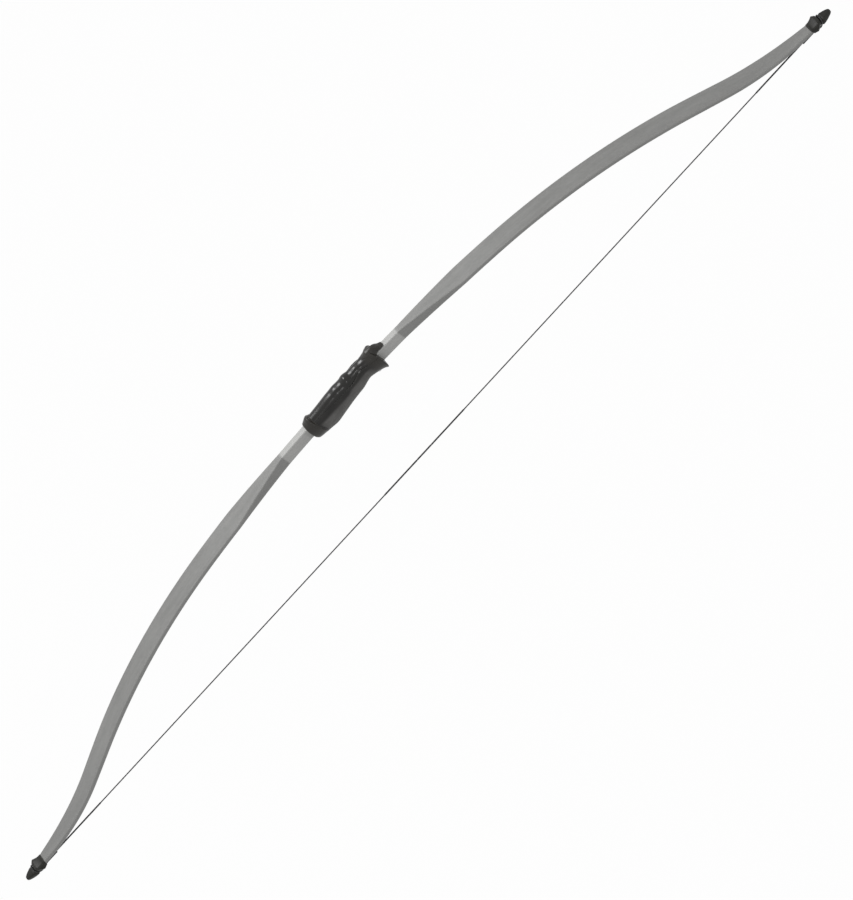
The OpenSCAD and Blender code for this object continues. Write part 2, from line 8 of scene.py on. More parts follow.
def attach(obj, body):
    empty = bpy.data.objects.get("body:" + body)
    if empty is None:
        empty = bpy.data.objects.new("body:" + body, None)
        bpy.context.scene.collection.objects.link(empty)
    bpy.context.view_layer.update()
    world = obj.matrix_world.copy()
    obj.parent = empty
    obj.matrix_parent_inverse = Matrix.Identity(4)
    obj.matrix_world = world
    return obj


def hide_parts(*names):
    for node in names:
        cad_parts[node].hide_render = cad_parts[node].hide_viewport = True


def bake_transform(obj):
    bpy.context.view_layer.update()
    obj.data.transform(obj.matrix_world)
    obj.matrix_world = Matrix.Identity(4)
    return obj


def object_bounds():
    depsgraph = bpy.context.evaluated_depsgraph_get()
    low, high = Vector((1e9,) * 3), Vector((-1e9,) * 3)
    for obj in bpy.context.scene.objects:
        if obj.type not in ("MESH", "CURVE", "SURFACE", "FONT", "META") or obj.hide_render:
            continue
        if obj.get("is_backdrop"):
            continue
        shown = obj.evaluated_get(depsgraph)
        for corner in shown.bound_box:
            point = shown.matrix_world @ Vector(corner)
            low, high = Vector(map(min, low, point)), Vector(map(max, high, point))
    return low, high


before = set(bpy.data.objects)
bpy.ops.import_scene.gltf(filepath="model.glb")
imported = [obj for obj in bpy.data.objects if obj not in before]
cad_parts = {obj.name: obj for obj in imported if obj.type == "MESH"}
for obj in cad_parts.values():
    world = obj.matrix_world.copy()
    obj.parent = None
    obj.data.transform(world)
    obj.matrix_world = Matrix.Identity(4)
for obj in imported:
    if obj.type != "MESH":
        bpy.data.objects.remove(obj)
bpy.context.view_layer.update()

bl_info = {
    "name": "Recurve bow",
    "version": (1, 0, 0),
    "blender": (4, 5, 0),
    "location": "View3D > Sidebar > Bow",
    "description": "Dresses the packed recurve bow: stave, grip, tip caps, string and a pale studio",
    "category": "Object",
}

MM = 0.001


# The bow's lines, in mm

STAVE_HALF = 755.0
LIMB_START = 108.5
FADE_END = 207.0
TAPER_START = 424.0
TAPER_POWER = 3.8
CAP_START = 745.5
CAP_LEAN = 5.0
CAP_SHIFT = 1.0
# The bends of one half from its centre out: the length of each and its turn in degrees.
BENDS = ((20, 0), (249, 8.5), (294, 18.9), (50, 0), (120, -19), (200, 0))


def arc_end(x, z, angle, length, turn):
    """Where an arc of this length and turn ends, in the plane of the string."""
    if abs(turn) < 1e-6:
        return x + length * math.sin(angle), z + length * math.cos(angle)
    radius = length / turn
    return (x + radius * (math.cos(angle) - math.cos(angle + turn)),
            z + radius * (math.sin(angle + turn) - math.sin(angle)))


def stave_line(along):
    """The stave's middle line: the point at a distance from the centre, and its lean in radians."""
    x = z = angle = 0.0
    for length, degrees in BENDS:
        turn = math.radians(degrees)
        if along <= length:
            share = along / length
            x, z = arc_end(x, z, angle, along, turn * share)
            return x, z, angle + turn * share
        x, z = arc_end(x, z, angle, length, turn)
        angle += turn
        along -= length
    return x, z, angle


def clamp(value, low=0.0, high=1.0):
    """The value, held between two others."""
    return max(low, min(high, value))


def smooth(low, high, value):
    """0 below low, 1 above high, and a soft step between them."""
    f = clamp((value - low) / (high - low))
    return f * f * (3 - 2 * f)


def curve(points, z):
    """A smooth curve through a few chosen points, each a place and a value."""
    def slope(i):
        a, b = max(i - 1, 0), min(i + 1, len(points) - 1)
        return (points[b][1] - points[a][1]) / (points[b][0] - points[a][0])

    i = 0
    while i < len(points) - 2 and z >= points[i + 1][0]:
        i += 1
    h = points[i + 1][0] - points[i][0]
    f = clamp((z - points[i][0]) / h)
    return (points[i][1] * (1 + 2 * f) * (1 - f) ** 2 + h * slope(i) * f * (1 - f) ** 2
            + points[i + 1][1] * f * f * (3 - 2 * f) + h * slope(i + 1) * f * f * (f - 1))


def spread(start, end, step):
    """Even places from start to end, about a step apart."""
    count = max(1, math.ceil((end - start) / step))
    return [start + (end - start) * i / count for i in range(count + 1)]


def angles(count):
    """Even angles round a full turn, in radians."""
    return [2 * math.pi * k / count for k in range(count)]


def turned(value, power):
    """A sine or cosine pulled out towards a box: a power of 2 keeps the circle, more squares it."""
    return math.copysign(abs(value) ** (2 / power), value)


# Meshes

SHARP_ANGLE = 38
# The share of a piece's volume that has to be left after a cut.
LEAST_KEPT = 0.5
# The half-round end of a cord: the distance along it and the radius, as shares of the cord's radius.
CORD_END = ((1, 0.02), (0.92, 0.4), (0.7, 0.71), (0.38, 0.92))


def skin(rings, wrap=1.0, lengths=None):
    """A closed solid over rings of equally many points, in mm. Lengths place each ring in the UV map."""
    mesh = bmesh.new()
    uv = mesh.loops.layers.uv.new("Along")
    count = len(rings[0])
    lengths = lengths or list(range(len(rings)))
    rows = [[mesh.verts.new([c * MM for c in p]) for p in ring] for ring in rings]
    for i in range(len(rows) - 1):
        for k in range(count):
            n = (k + 1) % count
            face = mesh.faces.new((rows[i][k], rows[i][n], rows[i + 1][n], rows[i + 1][k]))
            places = ((k, i), (k + 1, i), (k + 1, i + 1), (k, i + 1))
            for loop, (a, b) in zip(face.loops, places):
                loop[uv].uv = (wrap * a / count, lengths[b])
    for row, at in ((list(reversed(rows[0])), lengths[0]), (rows[-1], lengths[-1])):
        face = mesh.faces.new(row)
        for loop in face.loops:
            loop[uv].uv = (0, at)
    return mesh


def mirrored(mesh):
    """The same solid below the bow's middle."""
    for v in mesh.verts:
        v.co.z = -v.co.z
    bmesh.ops.reverse_faces(mesh, faces=mesh.faces)
    return mesh


def piece(name, mesh, material, sharp=SHARP_ANGLE):
    """A new object from a bmesh, smooth apart from its sharp edges."""
    bmesh.ops.recalc_face_normals(mesh, faces=mesh.faces)
    data = bpy.data.meshes.new(name)
    mesh.to_mesh(data)
    mesh.free()
    data.shade_smooth()
    data.set_sharp_from_angle(angle=math.radians(sharp))
    data.materials.append(material)
    made = bpy.data.objects.new(name, data)
    bpy.context.scene.collection.objects.link(made)
    return made


def volume(data):
    """What a mesh encloses, in cubic metres."""
    mesh = bmesh.new()
    mesh.from_mesh(data)
    size = mesh.calc_volume()
    mesh.free()
    return size


def cut(made, cutters, operation="DIFFERENCE"):
    """Cuts other solids out of a piece, or joins them to it, and stops when the piece is lost by it."""
    for mesh in cutters:
        before = volume(made.data)
        bmesh.ops.recalc_face_normals(mesh, faces=mesh.faces)
        data = bpy.data.meshes.new("cutter")
        mesh.to_mesh(data)
        mesh.free()
        tool = bpy.data.objects.new("cutter", data)
        bpy.context.scene.collection.objects.link(tool)
        change = made.modifiers.new("cut", "BOOLEAN")
        change.operation = operation
        change.solver = "EXACT"
        change.object = tool
        bpy.context.view_layer.update()
        graph = bpy.context.evaluated_depsgraph_get()
        result = bpy.data.meshes.new_from_object(made.evaluated_get(graph))
        made.modifiers.remove(change)
        old = made.data
        made.data = result
        bpy.data.meshes.remove(old)
        bpy.data.objects.remove(tool)
        if volume(made.data) < LEAST_KEPT * before:
            raise RuntimeError(f"{made.name} was lost in a cut")
    made.data.shade_smooth()
    made.data.set_sharp_from_angle(angle=math.radians(SHARP_ANGLE))


def block(low, high):
    """A plain box between two corners, as a cutter."""
    mesh = bmesh.new()
    bmesh.ops.create_cube(mesh, size=1)
    for v in mesh.verts:
        v.co = Vector([MM * (low[i] + (v.co[i] + 0.5) * (high[i] - low[i])) for i in range(3)])
    return mesh


def rod_along_x(x0, x1, y, z, radius, sides=40):
    """A round cutter along X."""
    return skin([[(x, y + radius * math.cos(a), z + radius * math.sin(a)) for a in angles(sides)]
                 for x in (x0, x1)])


def tube(points, radius, aside, sides=16):
    """A round cord along points, with half-round ends."""
    rings, lengths = [], []
    path = [Vector(p) for p in points]
    run = 0.0
    for i, p in enumerate(path):
        heading = (path[min(i + 1, len(path) - 1)] - path[max(i - 1, 0)]).normalized()
        u = heading.cross(Vector(aside)).normalized()
        v = heading.cross(u)
        if i:
            run += (p - path[i - 1]).length

        def ring(at, r):
            return [at + r * (math.cos(a) * u + math.sin(a) * v) for a in angles(sides)]

        if i == 0:
            for back, size in CORD_END:
                rings.append(ring(p - heading * radius * back, radius * size))
                lengths.append((run - radius * back) * MM)
        rings.append(ring(p, radius))
        lengths.append(run * MM)
        if i == len(path) - 1:
            for ahead, size in reversed(CORD_END):
                rings.append(ring(p + heading * radius * ahead, radius * size))
                lengths.append((run + radius * ahead) * MM)
    return skin(rings, wrap=2 * math.pi * radius * MM, lengths=lengths)


def round_corner(before, at, after, radius, count=5):
    """Points that round one corner of a flat outline."""
    a, b, c = Vector(before), Vector(at), Vector(after)
    to_a, to_c = (a - b).normalized(), (c - b).normalized()
    half = math.acos(clamp(to_a.dot(to_c), -1, 1)) / 2
    reach = radius / math.tan(half)
    reach = min(reach, 0.9 * (a - b).length, 0.9 * (c - b).length)
    radius = reach * math.tan(half)
    middle = b + (to_a + to_c).normalized() * (radius / math.sin(half))
    start, end = b + to_a * reach - middle, b + to_c * reach - middle
    total = start.angle(end)
    made = []
    for i in range(count):
        f = i / (count - 1)
        swept = start * math.sin((1 - f) * total) + end * math.sin(f * total)
        made.append(tuple(middle + swept / math.sin(total)))
    return made


# Shader nodes

class Value:
    """A socket of a material or the room, with arithmetic that adds Math nodes."""

    def __init__(self, owner, socket):
        self.owner, self.socket = owner, socket

    def math(self, operation, *others):
        """A Math node on this socket and others, or on numbers."""
        terms = dict(enumerate((self,) + others))
        made = self.owner.node("ShaderNodeMath", {"operation": operation}, terms)
        return Value(self.owner, made.outputs[0])

    def __add__(self, other):
        return self.math("ADD", other)

    def __mul__(self, other):
        return self.math("MULTIPLY", other)

    def __sub__(self, other):
        return self.math("SUBTRACT", other)

    def __rsub__(self, other):
        return (self * -1) + other

    __radd__ = __add__
    __rmul__ = __mul__

    def between(self, low, high):
        """0 below low, 1 above high, and smooth between them."""
        ends = {"Value": self, "From Min": low, "From Max": high, "To Min": 0, "To Max": 1}
        made = self.owner.node("ShaderNodeMapRange", {"interpolation_type": "SMOOTHSTEP"}, ends)
        return Value(self.owner, made.outputs[0])


WHITE = (1, 1, 1, 1)


def tint(colour, factor=1.0):
    """A colour made darker or lighter, with its alpha."""
    return (colour[0] * factor, colour[1] * factor, colour[2] * factor, 1)


class Nodes:
    """The node tree of a material or of the room, under construction."""

    def __init__(self, holder):
        holder.use_nodes = True
        self.tree = holder.node_tree
        self.tree.nodes.clear()

    def node(self, kind, settings, inputs):
        """One node: its settings first, then the values or links of its sockets."""
        made = self.tree.nodes.new(kind)
        for key, value in settings.items():
            setattr(made, key, value)
        for key, value in inputs.items():
            if isinstance(value, Value):
                self.tree.links.new(value.socket, made.inputs[key])
            elif isinstance(value, bpy.types.NodeSocket):
                self.tree.links.new(value, made.inputs[key])
            else:
                made.inputs[key].default_value = value
        return made

    def mix(self, factor, a, b):
        """A colour between two others."""
        made = self.node("ShaderNodeMix", {"data_type": "RGBA"}, {0: factor, 6: a, 7: b})
        return made.outputs[2]

    def varied(self, share, colour, low, high):
        """A colour that goes with a share from one tint of itself to another."""
        return self.mix(share, tint(colour, low), tint(colour, high))

    def seen(self):
        """1 where the camera, a mirror image or glass shows it, and 0 for the light that it sends out."""
        path = self.node("ShaderNodeLightPath", {}, {})
        camera, glossy, glass = (Value(self, path.outputs[f"Is {kind} Ray"])
                                 for kind in ("Camera", "Glossy", "Transmission"))
        return camera.math("MAXIMUM", glossy).math("MAXIMUM", glass)


class Surface(Nodes):
    """A material under construction: one shader and what feeds it."""

    def __init__(self, name, **sockets):
        self.material = bpy.data.materials.new(name)
        super().__init__(self.material)
        self.shader = self.node("ShaderNodeBsdfPrincipled", {}, {})
        self.end = self.node("ShaderNodeOutputMaterial", {}, {"Surface": self.shader.outputs[0]})
        for key, value in sockets.items():
            self.shader.inputs[key.replace("_", " ")].default_value = value

    def place(self, kind="Object"):
        """The point being shaded: in the bow's own frame, or along the piece's UV map."""
        return self.node("ShaderNodeTexCoord", {}, {}).outputs[kind]

    def stretched(self, vector, scale):
        """A point's coordinates, each multiplied by its own scale."""
        made = self.node("ShaderNodeVectorMath", {"operation": "MULTIPLY"}, {0: vector, 1: scale})
        return made.outputs[0]

    def axes(self, vector):
        """A point's three coordinates."""
        made = self.node("ShaderNodeSeparateXYZ", {}, {0: vector})
        return [Value(self, made.outputs[i]) for i in range(3)]

    def noise(self, vector, scale, detail=2.0, roughness=0.5):
        """Cloudy variation from 0 to 1."""
        inputs = {"Vector": vector, "Scale": scale, "Detail": detail, "Roughness": roughness}
        return Value(self, self.node("ShaderNodeTexNoise", {}, inputs).outputs["Fac"])

    def cells(self, vector, scale):
        """A pebbled pattern: the distance from each pebble's middle."""
        made = self.node("ShaderNodeTexVoronoi", {}, {"Vector": vector, "Scale": scale})
        return Value(self, made.outputs["Distance"])

    def bump(self, height, depth, strength, under=None):
        """A fine relief, on top of another where one is given."""
        inputs = {"Height": height, "Distance": depth, "Strength": strength}
        if under is not None:
            inputs["Normal"] = under
        return self.node("ShaderNodeBump", {}, inputs).outputs[0]

    def feed(self, key, value):
        """Links a value to a socket of the shader."""
        socket = value.socket if isinstance(value, Value) else value
        self.tree.links.new(socket, self.shader.inputs[key])


# Heights and depths on the bow, in metres, between which one colour or finish turns into the next: the
# stave's centre, painted paler as painted light; the grip's shelf and collar, painted lighter as painted
# light and made rougher;
# and its palm, painted grey as a painted sheen and made rougher, whose edge swings forward at the throat.
CENTRE_END = (0.1045, 0.1075)
SHELF_PAINTED_LIGHT_AND_FINISH = (0.050, 0.058)
COLLAR_PAINTED_LIGHT_AND_FINISH = (-0.0455, -0.0440)
PALM_FRONT, PALM_TOP, PALM_FOOT = (-0.0055, -0.0005), (0.044, 0.056), (-0.046, -0.038)
PALM_SWING, SWING_DEPTH = (0.006, 0.020), 0.003


def fibreglass(settings):
    """Satin moulded glass fibre: fine strands along the limb under a smooth coat, a little mottled."""
    s = Surface("grey_fibreglass", IOR=1.48)
    along = s.place("UV")
    fine = s.noise(s.stretched(along, (5200, 150, 1)), 1.0, 3.0, 0.6)
    long = s.noise(s.stretched(along, (1500, 16, 1)), 1.0, 2.0, 0.5)
    cloud = s.noise(s.stretched(along, (60, 22, 1)), 1.0, 2.0, 0.5)
    shade = fine * 0.35 + long * 0.4 + cloud * 0.25
    # Painted light: the stave beside the grip is painted paler than the limbs, standing in for the light
    # its faces catch there.
    height = s.axes(s.place("Object"))[2].math("ABSOLUTE")
    centre = 1 - height.between(*CENTRE_END)
    limb = s.varied(shade.between(0.3, 0.7), settings.stave_colour, 0.88, 1.12)
    middle = s.varied(shade.between(0.3, 0.7), settings.painted_light_centre_colour, 0.92, 1.08)
    s.feed("Base Color", s.mix(centre, limb, middle))
    s.feed("Roughness", cloud * 0.1 + fine * 0.06 + settings.stave_roughness - 0.08)
    s.feed("Normal", s.bump(fine * 0.6 + long * 0.4, 0.00004, 0.35, s.bump(cloud, 0.0004, 0.08)))
    return s.material


def gloss_black(settings, name, roughness, palm=False):
    """Black moulded plastic with a soft orange peel: the palm side is rougher and pebbled, and painted a
    lighter grey as a painted sheen; the shelf and the collar are painted lighter as painted light.
    """
    s = Surface(name, IOR=1.5, Specular_IOR_Level=0.3)
    at = s.place("Object")
    x, _, z = s.axes(at)
    peel = s.noise(at, 420, 2.0)
    grain = s.noise(at, 3800, 2.0)
    rub = s.noise(s.stretched(at, (160, 160, 60)), 1.0, 3.0)
    shade = s.varied(rub.between(0.35, 0.7), settings.grip_colour, 0.8, 1.25)
    rough = rub * 0.08 + grain * 0.04 + (roughness - 0.06)
    # Painted light: the shelf at the top and the collar at the foot are painted lighter than the rest of
    # the grip, and made rougher.
    ends = z.between(*SHELF_PAINTED_LIGHT_AND_FINISH) + (1 - z.between(*COLLAR_PAINTED_LIGHT_AND_FINISH))
    shade = s.mix(ends * 0.75, shade, tint(settings.ends_painted_light_colour))
    rough = rough + ends * 0.08
    bumps = s.bump(peel, 0.00025, 0.07)
    if palm:
        # Painted sheen: the palm side is painted a lighter grey, standing in for the room's sheen on the
        # grip's sides; it is also rougher and pebbled.
        x = x + z.between(*PALM_SWING) * SWING_DEPTH
        satin_and_painted_sheen_zone = x.between(*PALM_FRONT) * (1 - z.between(*PALM_TOP)) * z.between(*PALM_FOOT)
        painted_sheen = s.varied(rub.between(0.35, 0.7), settings.palm_painted_sheen_colour, 0.85, 1.15)
        shade = s.mix(satin_and_painted_sheen_zone, shade, painted_sheen)
        rough = rough + satin_and_painted_sheen_zone * 0.22
        bumps = s.bump(s.cells(at, 1500) * satin_and_painted_sheen_zone, 0.0001, 0.25, bumps)
    s.feed("Base Color", shade)
    s.feed("Roughness", rough)
    s.feed("Normal", bumps)
    return s.material


def satin_black(settings):
    """The tip caps' black moulding, with a fine grain and a few smears."""
    s = Surface("satin_black_cap", IOR=1.48, Specular_IOR_Level=0.25)
    at = s.place("Object")
    grain = s.noise(at, 2600, 3.0)
    smear = s.noise(at, 300, 2.0)
    s.feed("Base Color", s.varied(smear.between(0.35, 0.7), settings.cap_colour, 0.8, 1.3))
    s.feed("Roughness", smear * 0.12 + 0.36)
    s.feed("Normal", s.bump(grain, 0.00006, 0.3))
    return s.material


def rubber(settings):
    """Dull rubber strip with a dusty bloom."""
    s = Surface("rubber_strip", IOR=1.45)
    at = s.place("Object")
    dust = s.noise(at, 500, 4.0, 0.6)
    s.feed("Base Color", s.varied(dust.between(0.45, 0.75), settings.pad_colour, 1, 2.2))
    s.feed("Roughness", dust * 0.2 + 0.65)
    s.feed("Normal", s.bump(s.noise(at, 2500, 2.0), 0.0001, 0.4))
    return s.material


def zinc(settings):
    """Bright zinc plate with faint turning marks and handling smears."""
    s = Surface("zinc_plated_steel", Metallic=1.0)
    at = s.place("Object")
    turn = s.noise(s.stretched(at, (400, 3000, 3000)), 1.0, 2.0)
    smear = s.noise(at, 700, 3.0)
    s.feed("Base Color", s.varied(smear, settings.screw_colour, 0.85, 1.1))
    s.feed("Roughness", smear * 0.15 + turn * 0.1 + 0.2)
    s.feed("Normal", s.bump(turn, 0.00003, 0.3))
    return s.material


def waxed_cord(settings):
    """Waxed polyester threads that run round the string in a slow twist."""
    s = Surface("waxed_string", IOR=1.45, Sheen_Weight=0.15)
    u, v, _ = s.axes(s.place("UV"))
    thread = (u * 34000 + v * 900).math("SINE")
    wax = s.noise(s.stretched(s.place("UV"), (2500, 260, 1)), 1.0, 3.0)
    s.feed("Base Color", s.varied(wax.between(0.35, 0.75), settings.string_colour, 1, 2.4))
    s.feed("Roughness", wax * 0.2 + 0.42)
    s.feed("Normal", s.bump(thread * 0.5 + wax, 0.00005, 0.5))
    return s.material


def wound_thread(settings):
    """Tight turns of serving thread round the string."""
    s = Surface("serving_thread", IOR=1.47)
    u, v, _ = s.axes(s.place("UV"))
    turns = (v * (2 * math.pi / settings.thread_pitch) + u * 950).math("SINE")
    wear = s.noise(s.stretched(s.place("UV"), (900, 700, 1)), 1.0, 3.0)
    # The colour is lighter where the thread is worn. It is also lighter on each turn's crest and darker
    # between turns, as painted shade.
    wear_and_painted_turn_shade = wear.between(0.4, 0.75) * 0.6 + turns * 0.15 + 0.1
    s.feed("Base Color", s.varied(wear_and_painted_turn_shade, settings.serving_colour, 0.7, 2.2))
    s.feed("Roughness", wear * 0.15 + 0.36)
    s.feed("Normal", s.bump(turns, settings.thread_pitch * 0.25, 0.7))
    return s.material


def white_floor(settings):
    """A pale floor that is white to the camera and still takes the bow's shadow."""
    s = Surface("studio_floor", Roughness=0.9)
    speck = s.noise(s.place("Object"), 40, 3.0)
    s.feed("Base Color", s.varied(speck, settings.floor_colour, 0.99, 1))
    glow = s.node("ShaderNodeEmission", {}, {"Color": WHITE, "Strength": 1.0})
    white = s.seen() * settings.floor_glow
    lit = s.node("ShaderNodeMixShader", {}, {0: white, 1: s.shader.outputs[0], 2: glow.outputs[0]})
    s.tree.links.new(lit.outputs[0], s.end.inputs["Surface"])
    return s.material


def white_room(strength):
    """A world that is white to the camera and lights the bow evenly from all round."""
    world = bpy.data.worlds.new("room")
    room = Nodes(world)
    shade = room.mix(room.seen(), (strength, strength, strength, 1), WHITE)
    light = room.node("ShaderNodeBackground", {}, {"Color": shade})
    room.node("ShaderNodeOutputWorld", {}, {"Surface": light.outputs[0]})
    return world


# Settings

def length_property(name, description, default):
    """A length that the user can change, its default in mm."""
    return bpy.props.FloatProperty(name=name, description=description, default=default * MM,
                                   unit="LENGTH")


class BowSizes(bpy.types.PropertyGroup):
    """Sizes of the bow that a user would change."""
    centre_width: length_property("Centre width", "Width of the stave at the grip", 10.6)
    centre_depth: length_property("Centre depth", "Depth of the stave at the grip", 17.6)
    limb_width: length_property("Limb width", "Width of a limb", 31.3)
    limb_thickness: length_property("Limb thickness", "Thickness of a limb", 5.5)
    tip_width: length_property("Tip width", "Width of a limb at its cap", 15.4)
    edge: length_property("Edge", "Chamfer along the stave's edges", 1)
    seam_round: length_property("Seam edge", "Rounding of the grip's moulded edges at the seam", 0.45)
    cord_radius: length_property("String radius", "Radius of the bare string", 0.8)
    served_radius: length_property("Served radius", "Radius of the string with its serving", 1.05)


def colour_property(name, description, default):
    """A colour that the user can change."""
    return bpy.props.FloatVectorProperty(name=name, description=description, subtype="COLOR", size=3,
                                         min=0, max=1, default=default)


def share_property(name, description, default):
    """A share from 0 to 1 that the user can change."""
    return bpy.props.FloatProperty(name=name, description=description, default=default, subtype="FACTOR")


def power_property(name, description, default):
    """A lamp's power in watts."""
    return bpy.props.FloatProperty(name=name, description=description, default=default, unit="POWER")


class BowFinish(bpy.types.PropertyGroup):
    """Colours and finishes of the bow and its studio."""
    stave_colour: colour_property("Limbs", "Colour of the limbs", (0.215, 0.215, 0.209))
    # Painted light: the stave beside the grip is painted paler than the limbs.
    painted_light_centre_colour: colour_property("Centre", "Colour of the stave beside the grip", (0.36, 0.36, 0.35))
    grip_colour: colour_property("Grip", "Colour of the grip", (0.012, 0.0115, 0.0105))
    # Painted sheen: the grip's palm side is painted a lighter grey.
    palm_painted_sheen_colour: colour_property("Palm", "Colour of the grip's rubbed palm side", (0.085, 0.083, 0.08))
    # Painted light: the grip's shelf and collar are painted lighter than the rest of the grip.
    ends_painted_light_colour: colour_property("Grip ends", "Colour of the shelf and the collar", (0.026, 0.0235, 0.02))
    cap_colour: colour_property("Caps", "Colour of the tip caps", (0.0115, 0.0112, 0.0090))
    pad_colour: colour_property("Pads", "Colour of the rubber pads", (0.02, 0.02, 0.02))
    screw_colour: colour_property("Screws", "Colour of the screws", (0.62, 0.62, 0.63))
    string_colour: colour_property("String", "Colour of the bare string", (0.012, 0.012, 0.013))
    serving_colour: colour_property("Serving", "Colour of the wound thread", (0.01, 0.01, 0.011))
    floor_colour: colour_property("Floor", "Colour of the studio floor", (0.93, 0.93, 0.93))
    stave_roughness: share_property("Limb roughness", "Roughness of the limbs", 0.42)
    grip_roughness: share_property("Grip roughness", "Roughness of the grip's front", 0.25)
    floor_glow: share_property("Floor whiteness", "How white the floor is to the camera", 0.97)
    thread_pitch: length_property("Thread pitch", "Distance from turn to turn of the serving", 0.42)
    key_power: power_property("Key light", "Power of the light on the bow's far side", 26)
    near_power: power_property("Near light", "Power of the small light beside the camera", 7)
    fill_power: power_property("Fill light", "Power of the large soft light above", 20)
    sky: bpy.props.FloatProperty(
        name="Room light", description="Strength of the light from all round", default=0.55)


def sizes():
    """The bow's sizes as the user has set them."""
    return bpy.context.scene.bow_sizes


def finish():
    """The bow's finishes as the user has set them."""
    return bpy.context.scene.bow_finish


# Stave

# How far the chamfers' edges are eased, and how far back the flats take over, in mm.
CHAMFER_EASE, CHAMFER_BACK = 0.14, 0.55
STAVE_STEP, STAVE_SHARP = 6, 60
# The length round the stave, in metres, for its UV map.
STAVE_GIRTH = 0.06


def stave_section(along):
    """Half width and half thickness of the stave at a distance from its centre, in mm."""
    s = sizes()
    fade = clamp((along - LIMB_START) / (FADE_END - LIMB_START))
    narrow = (max(along - TAPER_START, 0) / (CAP_START - TAPER_START)) ** TAPER_POWER
    width = s.centre_width + (s.limb_width - s.centre_width) * fade
    width -= (s.limb_width - s.tip_width) * narrow
    thick = s.centre_depth + (s.limb_thickness - s.centre_depth) * fade
    return width / MM / 2, thick / MM / 2


def stave_ring(along, grow=0.0):
    """The stave's section, square to its middle line: a chamfered bar, its chamfers' edges eased."""
    half_w, half_t = stave_section(along)
    half_w += grow
    half_t += grow
    c, e, b = sizes().edge / MM, CHAMFER_EASE, CHAMFER_BACK
    quarter = [(half_t, half_w - c - b), (half_t, half_w - c - e),
               (half_t - e * 0.8, half_w - c + e * 0.7), (half_t - c + e * 0.7, half_w - e * 0.8),
               (half_t - c - e, half_w), (half_t - c - b, half_w)]
    flip = [(-t, w) for t, w in reversed(quarter)]
    section = quarter + flip + [(-t, -w) for t, w in quarter] + [(-t, -w) for t, w in flip]
    x, z, lean = stave_line(along)
    return [(x + t * math.cos(lean), w, z - t * math.sin(lean)) for t, w in section]


def stave_half_mesh():
    """The stave's upper half, from the bow's centre to a little short of the limb's end in its cap."""
    stops = [0, LIMB_START - 1, LIMB_START + 1, FADE_END - 2, FADE_END + 2, TAPER_START, CAP_START,
             STAVE_HALF - 1]
    places = [0.0]
    for a, b in zip(stops, stops[1:]):
        places += spread(a, b, STAVE_STEP)[1:]
    return skin([stave_ring(a) for a in places], wrap=STAVE_GIRTH, lengths=[a * MM for a in places])


class BOW_OT_stave(bpy.types.Operator):
    """Make the stave, one half above and one below the middle"""
    bl_idname = "bow.stave"
    bl_label = "Stave"

    def execute(self, context):
        grey = fibreglass(finish())
        upper = piece("stave_upper_half", stave_half_mesh(), grey, STAVE_SHARP)
        lower = piece("stave_lower_half", mirrored(stave_half_mesh()), grey, STAVE_SHARP)
        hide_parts("stave_centre", "upper_limb")
        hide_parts("lower_limb")
        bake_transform(upper)
        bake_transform(lower)
        return {"FINISHED"}


# Grip

GRIP_FOOT, THROAT, SHELF_TOP, FLARE = 42.7, 42.0, 69.0, 19.5
FLARE_FOOT = SHELF_TOP - FLARE
# The shelf: its front end, how far it falls there, half its level part, its rounded edge and its crown.
SHELF_FRONT, SHELF_DROP, LEVEL_HALF, SHELF_EDGE, SHELF_CROWN = 20.3, 4.8, 5.0, 0.8, 0.05
# The slope of the grip's foot, and the height over which it fades out.
FOOT_SLOPE, SLOPE_REACH = math.tan(math.radians(13)), 30.0
# The slot for the stave: half its width, and its depth before and behind the stave's middle.
SLOT_HALF, SLOT_FRONT, SLOT_REAR = 5.55, 9.6, 9.85
# How far the grip stands out to the front, to the rear and to either side, each at a height.
FRONT_LINE = ((-GRIP_FOOT, 13.4), (-29, 14.59), (-9.67, 16.8), (21, 17), (THROAT, 16.5),
              (FLARE_FOOT, 16.3), (57.69, 17.1), (63.35, 19), (SHELF_TOP, SHELF_FRONT))
REAR_LINE = ((-GRIP_FOOT, 21.2), (-29, 22.7), (-9.67, 20), (8.4, 16.95), (25.2, 15.6), (34.9, 13),
             (THROAT, 11.6), (FLARE_FOOT, 13.1), (57.69, 15.4), (63.35, 17.7), (SHELF_TOP, 21.4))
SIDE_LINE = ((-GRIP_FOOT, 13.4), (-29, 14), (5.25, 13.7), (29.4, 12.7), (THROAT, 12),
             (FLARE_FOOT, 12.9), (57.69, 14.4), (63.35, 15.5), (SHELF_TOP, 16.38))
GRIP_SQUARE = 2.2
FRONT_POINTS, REAR_POINTS, GRIP_STEP = 90, 108, 1.0
# The shelf's rounded edge, in degrees, and the sections over its top, as shares of the way to the slot.
EDGE_TURNS = (15, 30, 45, 60, 75, 90)
TOP_SHARES = (0.1, 0.25, 0.4, 0.55, 0.7, 0.85, 0.96)
# The finger ribs: the height and the rise of each, and how far each reaches up and down.
RIBS = ((1.0, 0.7), (19.5, 1.9), (38.0, 0.7))
RIB_REACH = 0.45 * 18.5
# The seam: its place, its swing at the throat, the lip behind it and the ditch before it.
SEAM, SEAM_GAP = 10.4, 0.1
SEAM_SWING, SWING_AT, SWING_REACH = 3.2, THROAT - 3, 9
SWING_FOOT, SWING_HEAD = (13, 20), (43, 50)
LIP_RISE, LIP_ROUND, LIP_END = 0.75, 1.5, (2.5, 9)
DITCH_DEPTH, DITCH_END = 0.55, (0.5, 4.5)
